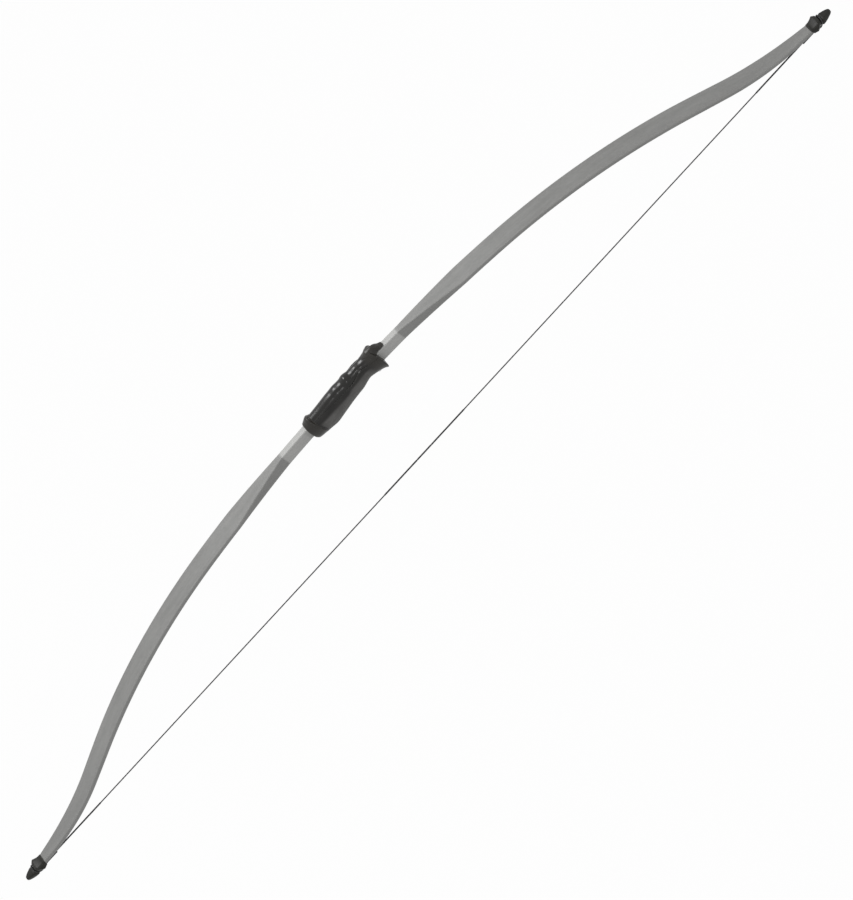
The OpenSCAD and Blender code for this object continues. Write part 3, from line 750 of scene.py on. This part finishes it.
# The keel under the tongue: its rise, its half width from its point up, and where it comes and goes.
KEEL_RISE, KEEL_HALF, KEEL_SPREAD, KEEL_POINT = 0.62, 2.4, 0.65, 55
KEEL_FOOT, KEEL_HEAD, KEEL_INSIDE, KEEL_OUTSIDE = (50, 58), (61, 67), 1.0, 0.6
# The tongue: a fin on the front of the shelf.
TONGUE_TOP, TONGUE_HALF, TONGUE_ROOT, TONGUE_BACK = 83.0, 4.7, 7, 0.4
TONGUE_SQUARE, TONGUE_LEVELS, TONGUE_POINTS, LEVELS_CROWD = 2.7, 43, 34, 0.85
# It flares into the shelf between two heights, tapers upwards and rounds in at its top.
TONGUE_FLARE, FLARE_START, FLARE_END, FLARE_POWER = 2.6, SHELF_TOP - 2, SHELF_TOP + 4.5, 1.6
TONGUE_TAPER, ROUND_START, ROUND_SIDES, ROUND_FRONT = 0.22, 0.93, 0.12, 0.3
SETTLE_END = SHELF_TOP + 5
# Its front edge: the height above the shelf and the reach, as shares of the whole.
TONGUE_LINE = ((-0.65, 0.38), (-0.41, 0.78), (-0.28, 1), (0.03, 1), (0.25, 0.92), (0.47, 0.73),
               (0.69, 0.32), (0.85, 0.13), (1, 0.04))
# The recesses of the screws' heads, from the seat of each out past the grip's rear.
SCREW_Y, SCREW_Z, RECESS_R, HEAD_SEAT_X, PAST_REAR = 8.6, 56.0, 2.75, 9, 60


def rib_bump(z):
    """How far the finger ribs lift the front of the grip at a height."""
    return sum(rise * (1 + math.cos(math.pi * (z - at) / RIB_REACH)) / 2
               for at, rise in RIBS if abs(z - at) < RIB_REACH)


def seam_at(z):
    """The seam runs straight down the sides and swings forward at the throat."""
    return -SEAM - SEAM_SWING * math.exp(-((z - SWING_AT) / SWING_REACH) ** 2)


def end_fall(x):
    """How far the crowned shelf has fallen at its front and rear ends."""
    return SHELF_DROP * (max(abs(x) - LEVEL_HALF, 0) / (SHELF_FRONT - LEVEL_HALF)) ** 2


def settle(x, y, z):
    """The rings at the grip's foot slope, and those at the shelf fall away at both ends."""
    rise = FOOT_SLOPE * clamp(1 - (z + GRIP_FOOT) / SLOPE_REACH)
    drop = clamp(1 - (SHELF_TOP - z) / FLARE) ** 1.5
    return x, y, z + x * rise - end_fall(x) * drop


def grip_outline(z, inset):
    """Middle, half depth and half width of the grip at a height."""
    front = curve(FRONT_LINE, z) + rib_bump(z) - inset
    rear = curve(REAR_LINE, z) - inset
    return (rear - front) / 2, (rear + front) / 2, curve(SIDE_LINE, z) - inset


def keel(y, z):
    """The tongue runs on below the shelf as a low keel that comes to a point."""
    half = KEEL_HALF + KEEL_SPREAD * max(z - KEEL_POINT, 0)
    across = 1 - smooth(half - KEEL_INSIDE, half + KEEL_OUTSIDE, abs(y))
    return KEEL_RISE * smooth(*KEEL_FOOT, z) * (1 - smooth(*KEEL_HEAD, z)) * across


def beside_swing(z):
    """1 at the heights where the seam swings, and 0 above and below."""
    return smooth(*SWING_FOOT, z) * (1 - smooth(*SWING_HEAD, z))


def seam_lip(off, z):
    """The palm moulding stands up beside the seam's swing and rounds off to it."""
    rise = LIP_RISE * (1 - smooth(*LIP_END, off))
    drop = LIP_ROUND - math.sqrt(max(LIP_ROUND ** 2 - max(LIP_ROUND - off, 0) ** 2, 0))
    return beside_swing(z) * (rise - drop)


def seam_ditch(off, z):
    """The front moulding sinks beside the seam's swing."""
    return -DITCH_DEPTH * beside_swing(z) * (1 - smooth(*DITCH_END, off))


def outward(points, i, far):
    """A point of an outline moved outwards, square to its neighbours."""
    (x0, y0), (x, y), (x1, y1) = points[max(i - 1, 0)], points[i], points[min(i + 1, len(points) - 1)]
    run = math.hypot(x1 - x0, y1 - y0)
    return x + far * (y1 - y0) / run, y - far * (x1 - x0) / run


def grip_levels():
    """Each section's height, how far it is set in, and its share of the way over the top to the slot."""
    levels = [(z, 0.0, 0.0) for z in spread(-GRIP_FOOT, SHELF_TOP - SHELF_EDGE, GRIP_STEP)]
    for a in (math.radians(degrees) for degrees in EDGE_TURNS):
        levels.append((SHELF_TOP - SHELF_EDGE * (1 - math.sin(a)), SHELF_EDGE * (1 - math.cos(a)), 0.0))
    return levels + [(SHELF_TOP + SHELF_CROWN * share, SHELF_EDGE, share) for share in TOP_SHARES]


def outer_arc(front, z, inset, seam):
    """The outside of one moulding at a height, from the seam on one side round to the other."""
    middle, half_x, half_y = grip_outline(z, inset)
    turn = math.acos(-clamp(abs(seam - middle) / half_x) ** (GRIP_SQUARE / 2))
    count = FRONT_POINTS if front else REAR_POINTS
    start, end = (turn, 2 * math.pi - turn) if front else (-turn, turn)
    arc = []
    for k in range(count + 1):
        a = start + (end - start) * k / count
        arc.append((middle + half_x * turned(math.cos(a), GRIP_SQUARE),
                    half_y * turned(math.sin(a), GRIP_SQUARE)))
    if front:
        far = [keel(y, z) + seam_ditch(seam - x, z) for x, y in arc]
    else:
        far = [seam_lip(x - seam, z) for x, y in arc]
    return [outward(arc, i, far[i]) for i in range(len(arc))]


def drawn_in(outline, front, half, seam, share):
    """An outline over the shelf's top, drawn in by a share of the way to the slot."""
    made = []
    for x, y in outline:
        if front:
            to = -SLOT_FRONT if abs(y) < half else seam
        else:
            to = min(x, SLOT_REAR)
        made.append((x + (to - x) * share, y + (clamp(y, -half, half) - y) * share))
    return made


def grip_rings(front):
    """Closed sections of one moulding of the grip, from its foot up and in over its crowned top."""
    easing = sizes().seam_round / MM
    rings = []
    for z, inset, share in grip_levels():
        if front:
            seam, w = seam_at(z) - SEAM_GAP, SLOT_HALF - SEAM_GAP
            inner = [(seam, -w), (-SLOT_FRONT, -w), (-SLOT_FRONT, w), (seam, w)]
        else:
            seam, w = seam_at(z), SLOT_HALF
            inner = [(seam, w), (SLOT_REAR, w), (SLOT_REAR, -w), (seam, -w)]
        arc = outer_arc(front, z, inset, seam)
        first = round_corner(inner[-1], arc[0], arc[1], easing)
        last = round_corner(arc[-2], arc[-1], inner[0], easing)
        outer = first + arc[1:-1] + last
        if share:
            outer = drawn_in(outer, front, w, seam, share)
        rings.append([settle(x, y, z) for x, y in outer + inner])
    return rings


def tongue_rings():
    """The fin on the front of the shelf, flared into it at the foot and curving back to its top."""
    rings = []
    foot, back = SHELF_TOP - TONGUE_ROOT, TONGUE_BACK - SLOT_FRONT
    for i in range(TONGUE_LEVELS):
        z = foot + (TONGUE_TOP - foot) * (i / (TONGUE_LEVELS - 1)) ** LEVELS_CROWD
        f = (z - SHELF_TOP) / (TONGUE_TOP - SHELF_TOP)
        reach = clamp(curve(TONGUE_LINE, f), 0, 1.01) * (SHELF_FRONT - SLOT_FRONT)
        top = smooth(ROUND_START, 1, f)
        half = TONGUE_HALF * (1 - TONGUE_TAPER * max(f, 0) ** 5 - ROUND_SIDES * top)
        half += TONGUE_FLARE * (1 - smooth(FLARE_START, FLARE_END, z)) ** FLARE_POWER
        depth = reach * (1 - ROUND_FRONT * top)
        settled = 1 - smooth(FLARE_START, SETTLE_END, z)
        ring = []
        for k in range(TONGUE_POINTS):
            a = math.pi * (k / (TONGUE_POINTS - 1) - 0.5)
            x = back - (depth + TONGUE_BACK) * turned(math.cos(a), TONGUE_SQUARE)
            ring.append((x, -half * turned(math.sin(a), TONGUE_SQUARE), z - end_fall(x) * settled))
        rings.append(ring)
    return rings


class BOW_OT_grip(bpy.types.Operator):
    """Make the grip's two mouldings with their seam, shelf, finger ribs and tongue"""
    bl_idname = "bow.grip"
    bl_label = "Grip"

    def execute(self, context):
        s = finish()
        gloss = gloss_black(s, "gloss_black_front", s.grip_roughness)
        satin = gloss_black(s, "satin_black_palm", s.grip_roughness + 0.06, palm=True)
        rear = piece("grip_palm_moulding", skin(grip_rings(False)), satin)
        cut(rear, [rod_along_x(HEAD_SEAT_X, PAST_REAR, side * SCREW_Y, SCREW_Z, RECESS_R)
                   for side in (-1, 1)])
        front = piece("grip_front_moulding", skin(grip_rings(True)), gloss)
        cut(front, [skin(tongue_rings())], "UNION")
        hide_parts("grip_body")
        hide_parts("grip_front")
        for made in (rear, front):
            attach(made, "handle")
        return {"FINISHED"}


COLLAR_H, COLLAR_LIP, DRAW_IN, LEAST_WALL, COLLAR_POINTS = 17.1, 3.4, 2.4, 1.2, 84
# Heights between which the stave's slot is cut through the collar.
BELOW_COLLAR, ABOVE_COLLAR = -80, -30
# How far the collar's foot and top are rounded in, over which share of its height, and its rings there.
FOOT_EASE, FOOT_SHARE, TOP_EASE, TOP_SHARE = 0.9, 0.045, 0.3, 0.025
COLLAR_FOOT, COLLAR_TOP = [0, 0.004, 0.012, 0.025, 0.045], [0.985, 0.993, 0.998, 1]
# The collar's front and rear, as shares of its lip and its draw in, and its sides, in mm: each value
# comes after a share of the collar's height.
COLLAR_FRONT = ((0, -0.75), (0.1, -0.35), (0.35, 0.2), (0.55, 0.7), (0.78, 1), (0.85, 0.82),
                (0.9, 0.3), (0.94, 0.42), (1, 0.36))
COLLAR_REAR = ((0, -3.4), (0.07, -2.3), (0.15, -1.3), (0.3, -1), (0.6, -0.65), (0.8, -0.3),
               (1, -0.05))
COLLAR_SIDE = ((0, -3), (0.1, -1.9), (0.35, -0.5), (0.78, 0.7), (0.85, 0.6), (0.9, 0.15),
               (0.94, 0.3), (1, 0.1))


def collar_rings():
    """The collar up to the grip's sloping foot: it swells to a lip at the front, under a small bead."""
    rings = []
    foot_front, foot_rear, foot_side = (line[0][1] for line in (FRONT_LINE, REAR_LINE, SIDE_LINE))
    for f in COLLAR_FOOT + spread(0.07, 0.975, 0.018) + COLLAR_TOP:
        ease = FOOT_EASE * (1 - clamp(f / FOOT_SHARE)) ** 2
        ease += TOP_EASE * (1 - clamp((1 - f) / TOP_SHARE)) ** 2
        front = max(foot_front + COLLAR_LIP * curve(COLLAR_FRONT, f), SLOT_FRONT + LEAST_WALL) - ease
        rear = foot_rear + DRAW_IN * curve(COLLAR_REAR, f) - ease
        half_y = foot_side + curve(COLLAR_SIDE, f) - ease
        ring = []
        for a in angles(COLLAR_POINTS):
            x = (rear - front) / 2 + (rear + front) / 2 * turned(math.cos(a), GRIP_SQUARE)
            z = -GRIP_FOOT - COLLAR_H + f * (COLLAR_H + x * FOOT_SLOPE)
            ring.append((x, half_y * turned(math.sin(a), GRIP_SQUARE), z))
        rings.append(ring)
    return rings


class BOW_OT_collar(bpy.types.Operator):
    """Make the stepped collar at the grip's foot"""
    bl_idname = "bow.collar"
    bl_label = "Collar"

    def execute(self, context):
        s = finish()
        gloss = gloss_black(s, "gloss_black_collar", s.grip_roughness)
        made = piece("grip_foot_collar", skin(collar_rings()), gloss)
        cut(made, [block((-SLOT_FRONT, -SLOT_HALF, BELOW_COLLAR), (SLOT_REAR, SLOT_HALF, ABOVE_COLLAR))])
        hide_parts("lower_collar")
        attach(made, "handle")
        return {"FINISHED"}


class BOW_OT_fittings(bpy.types.Operator):
    """Give the screws and the pads inside the grip their finishes"""
    bl_idname = "bow.fittings"
    bl_label = "Screws and pads"

    def execute(self, context):
        bright, dull = zinc(finish()), rubber(finish())
        for name, material in (("grip_screws", bright), ("front_pad", dull), ("rear_pad", dull)):
            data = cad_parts[name].data
            data.materials.clear()
            data.materials.append(material)
        return {"FINISHED"}


# Caps and loops

# Half the cap's depth above its groove; half the groove's width and depth, its height and its slope.
CAP_HALF_T, GROOVE_HALF_W, GROOVE_HALF_T, GROOVE_Z = 4.65, 6.0, 3.3, 15.5
GROOVE_SLOPE = math.tan(math.radians(32))
CAP_SQUARE, CAP_POINTS = 4, 72
# The cap's rings, close together at its mouth and its nose and even between them.
CAP_MOUTH, CAP_STEP = [0, 0.12, 0.3, 0.5], 0.5
CAP_NOSE = [32.8, 33.1, 33.35, 33.55, 33.7, 33.82, 33.9, 33.96, 34]
# The limb's socket in the cap: the gap round it, and how far below the cap its cutter starts.
SOCKET_GAP, SOCKET_BELOW, SOCKET_STEP = 0.1, 12, 4
# Rings of a cap: height, share of the groove's slope, half depth, half width, shift towards the string.
CAP_ROWS = (
    (0, -0.5, 4.25, 8.3, 0), (0.5, -0.45, 4.65, 8.6, 0), (2.6, 0.2, 4.65, 8.8, -0.1),
    (4.6, 0.7, 4.95, 9.39, -0.52), (6.6, 1, 5.45, 10.29, -1.04), (7.6, 1, 5.75, 10.8, -1.3),
    (8.2, 1, 5.75, 10.8, -1.3), (9.6, 1, 5.35, 10, -1.17), (11.2, 1, 4.95, 9.1, -1),
    (12.8, 1, 4.45, 8.1, -0.65), (13.9, 1, 3.6, 6.5, -0.1), (14.6, 1, 3.3, 6, 0), (16.4, 1, 3.3, 6, 0),
    (17.2, 1, 3.7, 6.5, 0.2), (18.4, 1, 4.25, 7, 0.5), (19.8, 1, 4.65, 7.3, 0.8),
    (21.4, 0.9, 4.65, 7.1, 1), (24, 0.65, 4.18, 6.54, 0.9), (27.7, 0.35, 3.58, 5.33, 0.6),
    (30.7, 0.1, 2.88, 4.13, 0.4), (32.5, 0, 2.23, 3.18, 0.3), (33.6, 0, 1.58, 2.32, 0.3),
    (34, 0, 0.93, 1.46, 0.3))


def cap_frame():
    """The cap's own frame: its foot and its lean."""
    x, z, lean = stave_line(CAP_START)
    foot = Vector((x + CAP_SHIFT * math.cos(lean), 0, z - CAP_SHIFT * math.sin(lean)))
    return foot, lean - math.radians(CAP_LEAN)


def from_cap(p):
    """A point of the cap's own frame, in the bow's."""
    foot, lean = cap_frame()
    return (foot.x + p[0] * math.cos(lean) + p[2] * math.sin(lean), p[1],
            foot.z - p[0] * math.sin(lean) + p[2] * math.cos(lean))


def groove_height(x):
    """The height of the sloping groove's middle at a depth."""
    return GROOVE_Z - x * GROOVE_SLOPE


def cap_rings():
    """The cap from its mouth up: a ledge, the sloping groove under the shoulder, and a blunt nose."""
    def column(i):
        return [(row[0], row[i]) for row in CAP_ROWS]

    rings = []
    for h in CAP_MOUTH + spread(0.9, 32.5, CAP_STEP) + CAP_NOSE:
        slope, half_t, half_w, shift = (curve(column(i), h) for i in (1, 2, 3, 4))
        ring = []
        for a in angles(CAP_POINTS):
            x = shift + half_t * turned(math.cos(a), CAP_SQUARE)
            y = half_w * turned(math.sin(a), CAP_SQUARE)
            ring.append(from_cap((x, y, h - x * GROOVE_SLOPE * slope)))
        rings.append(ring)
    return rings


class BOW_OT_caps(bpy.types.Operator):
    """Make the two tip caps, each with a groove for the string"""
    bl_idname = "bow.caps"
    bl_label = "Tip caps"

    def execute(self, context):
        black = satin_black(finish())
        for side in ("upper", "lower"):
            mesh = skin(cap_rings())
            socket = skin([stave_ring(a, SOCKET_GAP)
                           for a in spread(CAP_START - SOCKET_BELOW, STAVE_HALF + SOCKET_GAP, SOCKET_STEP)])
            if side == "lower":
                mirrored(mesh)
                mirrored(socket)
            made = piece(f"{side}_cap", mesh, black)
            cut(made, [socket])
            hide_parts(f"{side}_tip_cap")
            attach(made, f"{side}_limb_body")
        return {"FINISHED"}


# The legs of a loop: each stands off the middle by LEG_OFF at the cap, and they lie along the string
# after a share of their length.
LEG_R, LEG_LEN, LEG_OFF, LEG_MEET, LEG_EASE, LEG_STEPS = 0.9, 30.0, 5.0, 0.4, 0.04, 30
LEG_X = CAP_HALF_T + LEG_R
CORD_GAP = 0.1
# The loop's band goes from this angle at the cap's rear round to its front, in degrees.
BAND_START, BAND_STEP = 120, 6


def band_path():
    """Round the cap in its sloping groove, from one rear corner past the front to the other."""
    half_t, half_w = GROOVE_HALF_T + LEG_R + CORD_GAP, GROOVE_HALF_W + LEG_R + CORD_GAP
    pivot = Vector((LEG_X, LEG_OFF, groove_height(LEG_X)))
    near = []
    for degrees in range(BAND_START, 0, -BAND_STEP):
        a = math.radians(degrees)
        x = -half_t * turned(math.cos(a), CAP_SQUARE)
        near.append(Vector((x, half_w * turned(math.sin(a), CAP_SQUARE), groove_height(x))))
    near = [pivot + 0.5 * LEG_R * (near[0] - pivot).normalized()] + near
    far = [Vector((p.x, -p.y, p.z)) for p in reversed(near)]
    front = Vector((-half_t, 0, groove_height(-half_t)))
    return [from_cap(p) for p in near + [front] + far]


def loop_pivot():
    """The place about which a loop's legs turn on their cap."""
    return Vector(from_cap((LEG_X, 0, groove_height(LEG_X))))


def leg_path(side):
    """One leg of a loop: from the cap's rear corner down to lie along the string."""
    pivot = loop_pivot()
    foot_y = sizes().served_radius / MM + LEG_R + CORD_GAP
    points = []
    for i in range(LEG_STEPS + 1):
        f = i / LEG_STEPS
        share = clamp(f / LEG_MEET)
        share -= LEG_EASE * math.sin(2 * math.pi * share)
        points.append((pivot.x, side * (LEG_OFF + (foot_y - LEG_OFF) * share), pivot.z - LEG_LEN * f))
    return points


class BOW_OT_loops(bpy.types.Operator):
    """Make the string's loops: a band round each cap and two legs to the string"""
    bl_idname = "bow.loops"
    bl_label = "String loops"

    def execute(self, context):
        thread = wound_thread(finish())
        for side in ("upper", "lower"):
            lean = cap_frame()[1]
            band = tube(band_path(), LEG_R, (math.sin(lean), 0, math.cos(lean)))
            legs = tube(leg_path(1), LEG_R, (1, 0, 0))
            other = tube(leg_path(-1), LEG_R, (1, 0, 0))
            if side == "lower":
                for mesh in (band, legs, other):
                    mirrored(mesh)
            joined = bpy.data.meshes.new("other_leg")
            other.to_mesh(joined)
            other.free()
            legs.from_mesh(joined)
            bpy.data.meshes.remove(joined)
            made = piece(f"{side}_loop_band", band, thread)
            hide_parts(f"{side}_loop")
            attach(made, f"{side}_limb_body")
            made = piece(f"{side}_loop_leg_pair", legs, thread)
            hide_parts(f"{side}_loop_legs")
            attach(made, f"{side}_legs_body")
        return {"FINISHED"}


# String

# Half the served middle, and the length of the serving beside it and of that by each loop.
NOCK_HALF, MID_SERVING, END_SERVING = 13.0, 60.0, 90.0
# How far the bare string starts inside its serving, runs up between the legs and past its serving's end.
SPAN_INSET, LEG_OVERLAP, SERVING_SHORT = 2, 5, 0.5
THREADS, THREAD_DEPTH, TWIST_LENGTH, TWIST_STEP = 9, 0.07, 64.0, 2.6
SERVED_POINTS, SERVED_STEP = 20, 4


def twisted(start, end, radius):
    """A bundle of threads with a slow twist, along Z."""
    x = loop_pivot().x
    rings, lengths = [], []
    for z in spread(start, end, TWIST_STEP):
        phase = 2 * math.pi * z / TWIST_LENGTH
        ring = []
        for a in angles(THREADS * 4):
            r = radius * (1 - THREAD_DEPTH + THREAD_DEPTH * math.cos(THREADS * a))
            ring.append((x + r * math.cos(a + phase), r * math.sin(a + phase), z))
        rings.append(ring)
        lengths.append(z * MM)
    return skin(rings, wrap=2 * math.pi * radius * MM, lengths=lengths)


def served(start, end, radius, round_start=False):
    """A stretch of wound string along Z, with eased ends."""
    x = loop_pivot().x
    rings, lengths = [], []
    if round_start:
        levels = [(start, 0.02)] + [(start + radius * (1 - math.cos(a)), math.sin(a))
                                    for a in (math.radians(d) for d in (20, 40, 60, 75))]
    else:
        levels = [(start, 0.86), (start + 0.08, 0.96)]
    body = spread(start + (radius if round_start else 0.25), end - 0.25, SERVED_STEP)
    levels += [(z, 1.0) for z in body] + [(end - 0.08, 0.96), (end, 0.86)]
    for z, share in levels:
        rings.append([(x + radius * share * math.cos(a), radius * share * math.sin(a), z)
                      for a in angles(SERVED_POINTS)])
        lengths.append(z * MM)
    return skin(rings, wrap=2 * math.pi * radius * MM, lengths=lengths)


class BOW_OT_string(bpy.types.Operator):
    """Make the string: two long spans, their servings and the served middle"""
    bl_idname = "bow.string"
    bl_label = "String"

    def execute(self, context):
        cord, thread = waxed_cord(finish()), wound_thread(finish())
        bare, full = sizes().cord_radius / MM, sizes().served_radius / MM
        start = NOCK_HALF + full + CORD_GAP
        top = loop_pivot().z - LEG_LEN + LEG_OVERLAP
        made = piece("string_core", twisted(-NOCK_HALF, NOCK_HALF, bare), cord)
        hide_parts("string_middle")
        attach(made, "nock_body")
        made = piece("nocking_serving", served(-NOCK_HALF, NOCK_HALF, full), thread)
        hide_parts("centre_serving")
        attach(made, "nock_body")
        for side in ("upper", "lower"):
            parts = (
                ("span", twisted(start + SPAN_INSET, top, bare), cord, "strand", "string"),
                ("serving_by_nock", served(start - full, start + MID_SERVING, full, True), thread,
                 "mid_serving", "serving"),
                ("serving_by_loop", served(top - END_SERVING, top - SERVING_SHORT, full), thread,
                 "end_serving", "serving"),
            )
            for name, mesh, material, node, slot in parts:
                if side == "lower":
                    mirrored(mesh)
                made = piece(f"{side}_{name}", mesh, material)
                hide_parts(f"{side}_{node}")
                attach(made, f"{side}_string_body")
        return {"FINISHED"}


# Studio

LENS_MM, FILM_MM, NEAREST, FARTHEST = 223.14, 36, 0.1, 100
CAMERA_PLACE = (-4.82111, -4.8188, 0.98975)
# The camera's axes in the bow's frame: to its right, upwards and backwards.
CAMERA_RIGHT = (0.5784822, -0.462668, 0.6717862)
CAMERA_UP = (-0.396581, 0.5601572, 0.7272877)
CAMERA_BACK = (-0.7127987, -0.6871406, 0.1405556)
FLOOR_HALF, FLOOR_BELOW = 40, 0.0005
# Each lamp's place and size, in metres.
KEY_PLACE, KEY_SIZE = (-1.94, 1.37, -0.3), (0.9, 0.5)
NEAR_PLACE, NEAR_SIZE = (-2.3, -1.5, -0.3), (0.45, 0.45)
FILL_PLACE, FILL_SIZE = (-1.6, -2.4, 2.6), (2.2, 2.2)


def lamp(name, place, size, power):
    """A soft rectangular lamp that faces the middle of the bow."""
    data = bpy.data.lights.new(name, "AREA")
    data.shape = "RECTANGLE"
    data.size, data.size_y = size
    data.energy = power
    made = bpy.data.objects.new(name, data)
    made.location = place
    made.rotation_mode = "QUATERNION"
    made.rotation_quaternion = (-Vector(place)).to_track_quat("-Z", "Y")
    bpy.context.scene.collection.objects.link(made)


class BOW_OT_studio(bpy.types.Operator):
    """Make the floor, the soft lights, the white room and the camera"""
    bl_idname = "bow.studio"
    bl_label = "Studio"

    def execute(self, context):
        s = finish()
        scene = context.scene
        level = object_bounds()[0].z - FLOOR_BELOW
        mesh = bmesh.new()
        bmesh.ops.create_grid(mesh, x_segments=4, y_segments=4, size=FLOOR_HALF)
        for v in mesh.verts:
            v.co.z = level
        floor = piece("studio_floor", mesh, white_floor(s))
        floor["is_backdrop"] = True

        camera = bpy.data.objects.new("camera", bpy.data.cameras.new("camera"))
        camera.data.lens, camera.data.sensor_width = LENS_MM, FILM_MM
        camera.data.clip_start, camera.data.clip_end = NEAREST, FARTHEST
        turn = Matrix((CAMERA_RIGHT, CAMERA_UP, CAMERA_BACK)).transposed()
        camera.matrix_world = Matrix.Translation(CAMERA_PLACE) @ turn.to_4x4()
        scene.collection.objects.link(camera)
        scene.camera = camera

        lamp("key", KEY_PLACE, KEY_SIZE, s.key_power)
        lamp("near", NEAR_PLACE, NEAR_SIZE, s.near_power)
        lamp("fill", FILL_PLACE, FILL_SIZE, s.fill_power)
        scene.world = white_room(s.sky)
        scene.view_settings.view_transform = "Standard"
        return {"FINISHED"}


# Panel and run

class BOW_PT_panel(bpy.types.Panel):
    """Lists the bow's sizes, finishes and steps"""
    bl_label = "Recurve bow"
    bl_idname = "BOW_PT_panel"
    bl_space_type = "VIEW_3D"
    bl_region_type = "UI"
    bl_category = "Bow"

    def draw(self, context):
        for group in (context.scene.bow_sizes, context.scene.bow_finish):
            box = self.layout.box()
            for key in group.bl_rna.properties.keys():
                if key not in {"rna_type", "name"}:
                    box.prop(group, key)
        for step in STEPS:
            self.layout.operator(step.bl_idname)


STEPS = (BOW_OT_stave, BOW_OT_grip, BOW_OT_collar, BOW_OT_fittings, BOW_OT_caps, BOW_OT_loops,
         BOW_OT_string, BOW_OT_studio)
CLASSES = (BowSizes, BowFinish) + STEPS + (BOW_PT_panel,)


def register():
    """Adds the settings, the steps and the panel to Blender."""
    for each in CLASSES:
        bpy.utils.register_class(each)
    bpy.types.Scene.bow_sizes = bpy.props.PointerProperty(type=BowSizes)
    bpy.types.Scene.bow_finish = bpy.props.PointerProperty(type=BowFinish)


def unregister():
    """Takes them out again."""
    del bpy.types.Scene.bow_finish
    del bpy.types.Scene.bow_sizes
    for each in reversed(CLASSES):
        bpy.utils.unregister_class(each)


def main():
    """Builds the bow and its studio."""
    register()
    bpy.ops.bow.stave()
    bpy.ops.bow.grip()
    bpy.ops.bow.collar()
    bpy.ops.bow.fittings()
    bpy.ops.bow.caps()
    bpy.ops.bow.loops()
    bpy.ops.bow.string()
    bpy.ops.bow.studio()


if __name__ == "__main__":
    main()
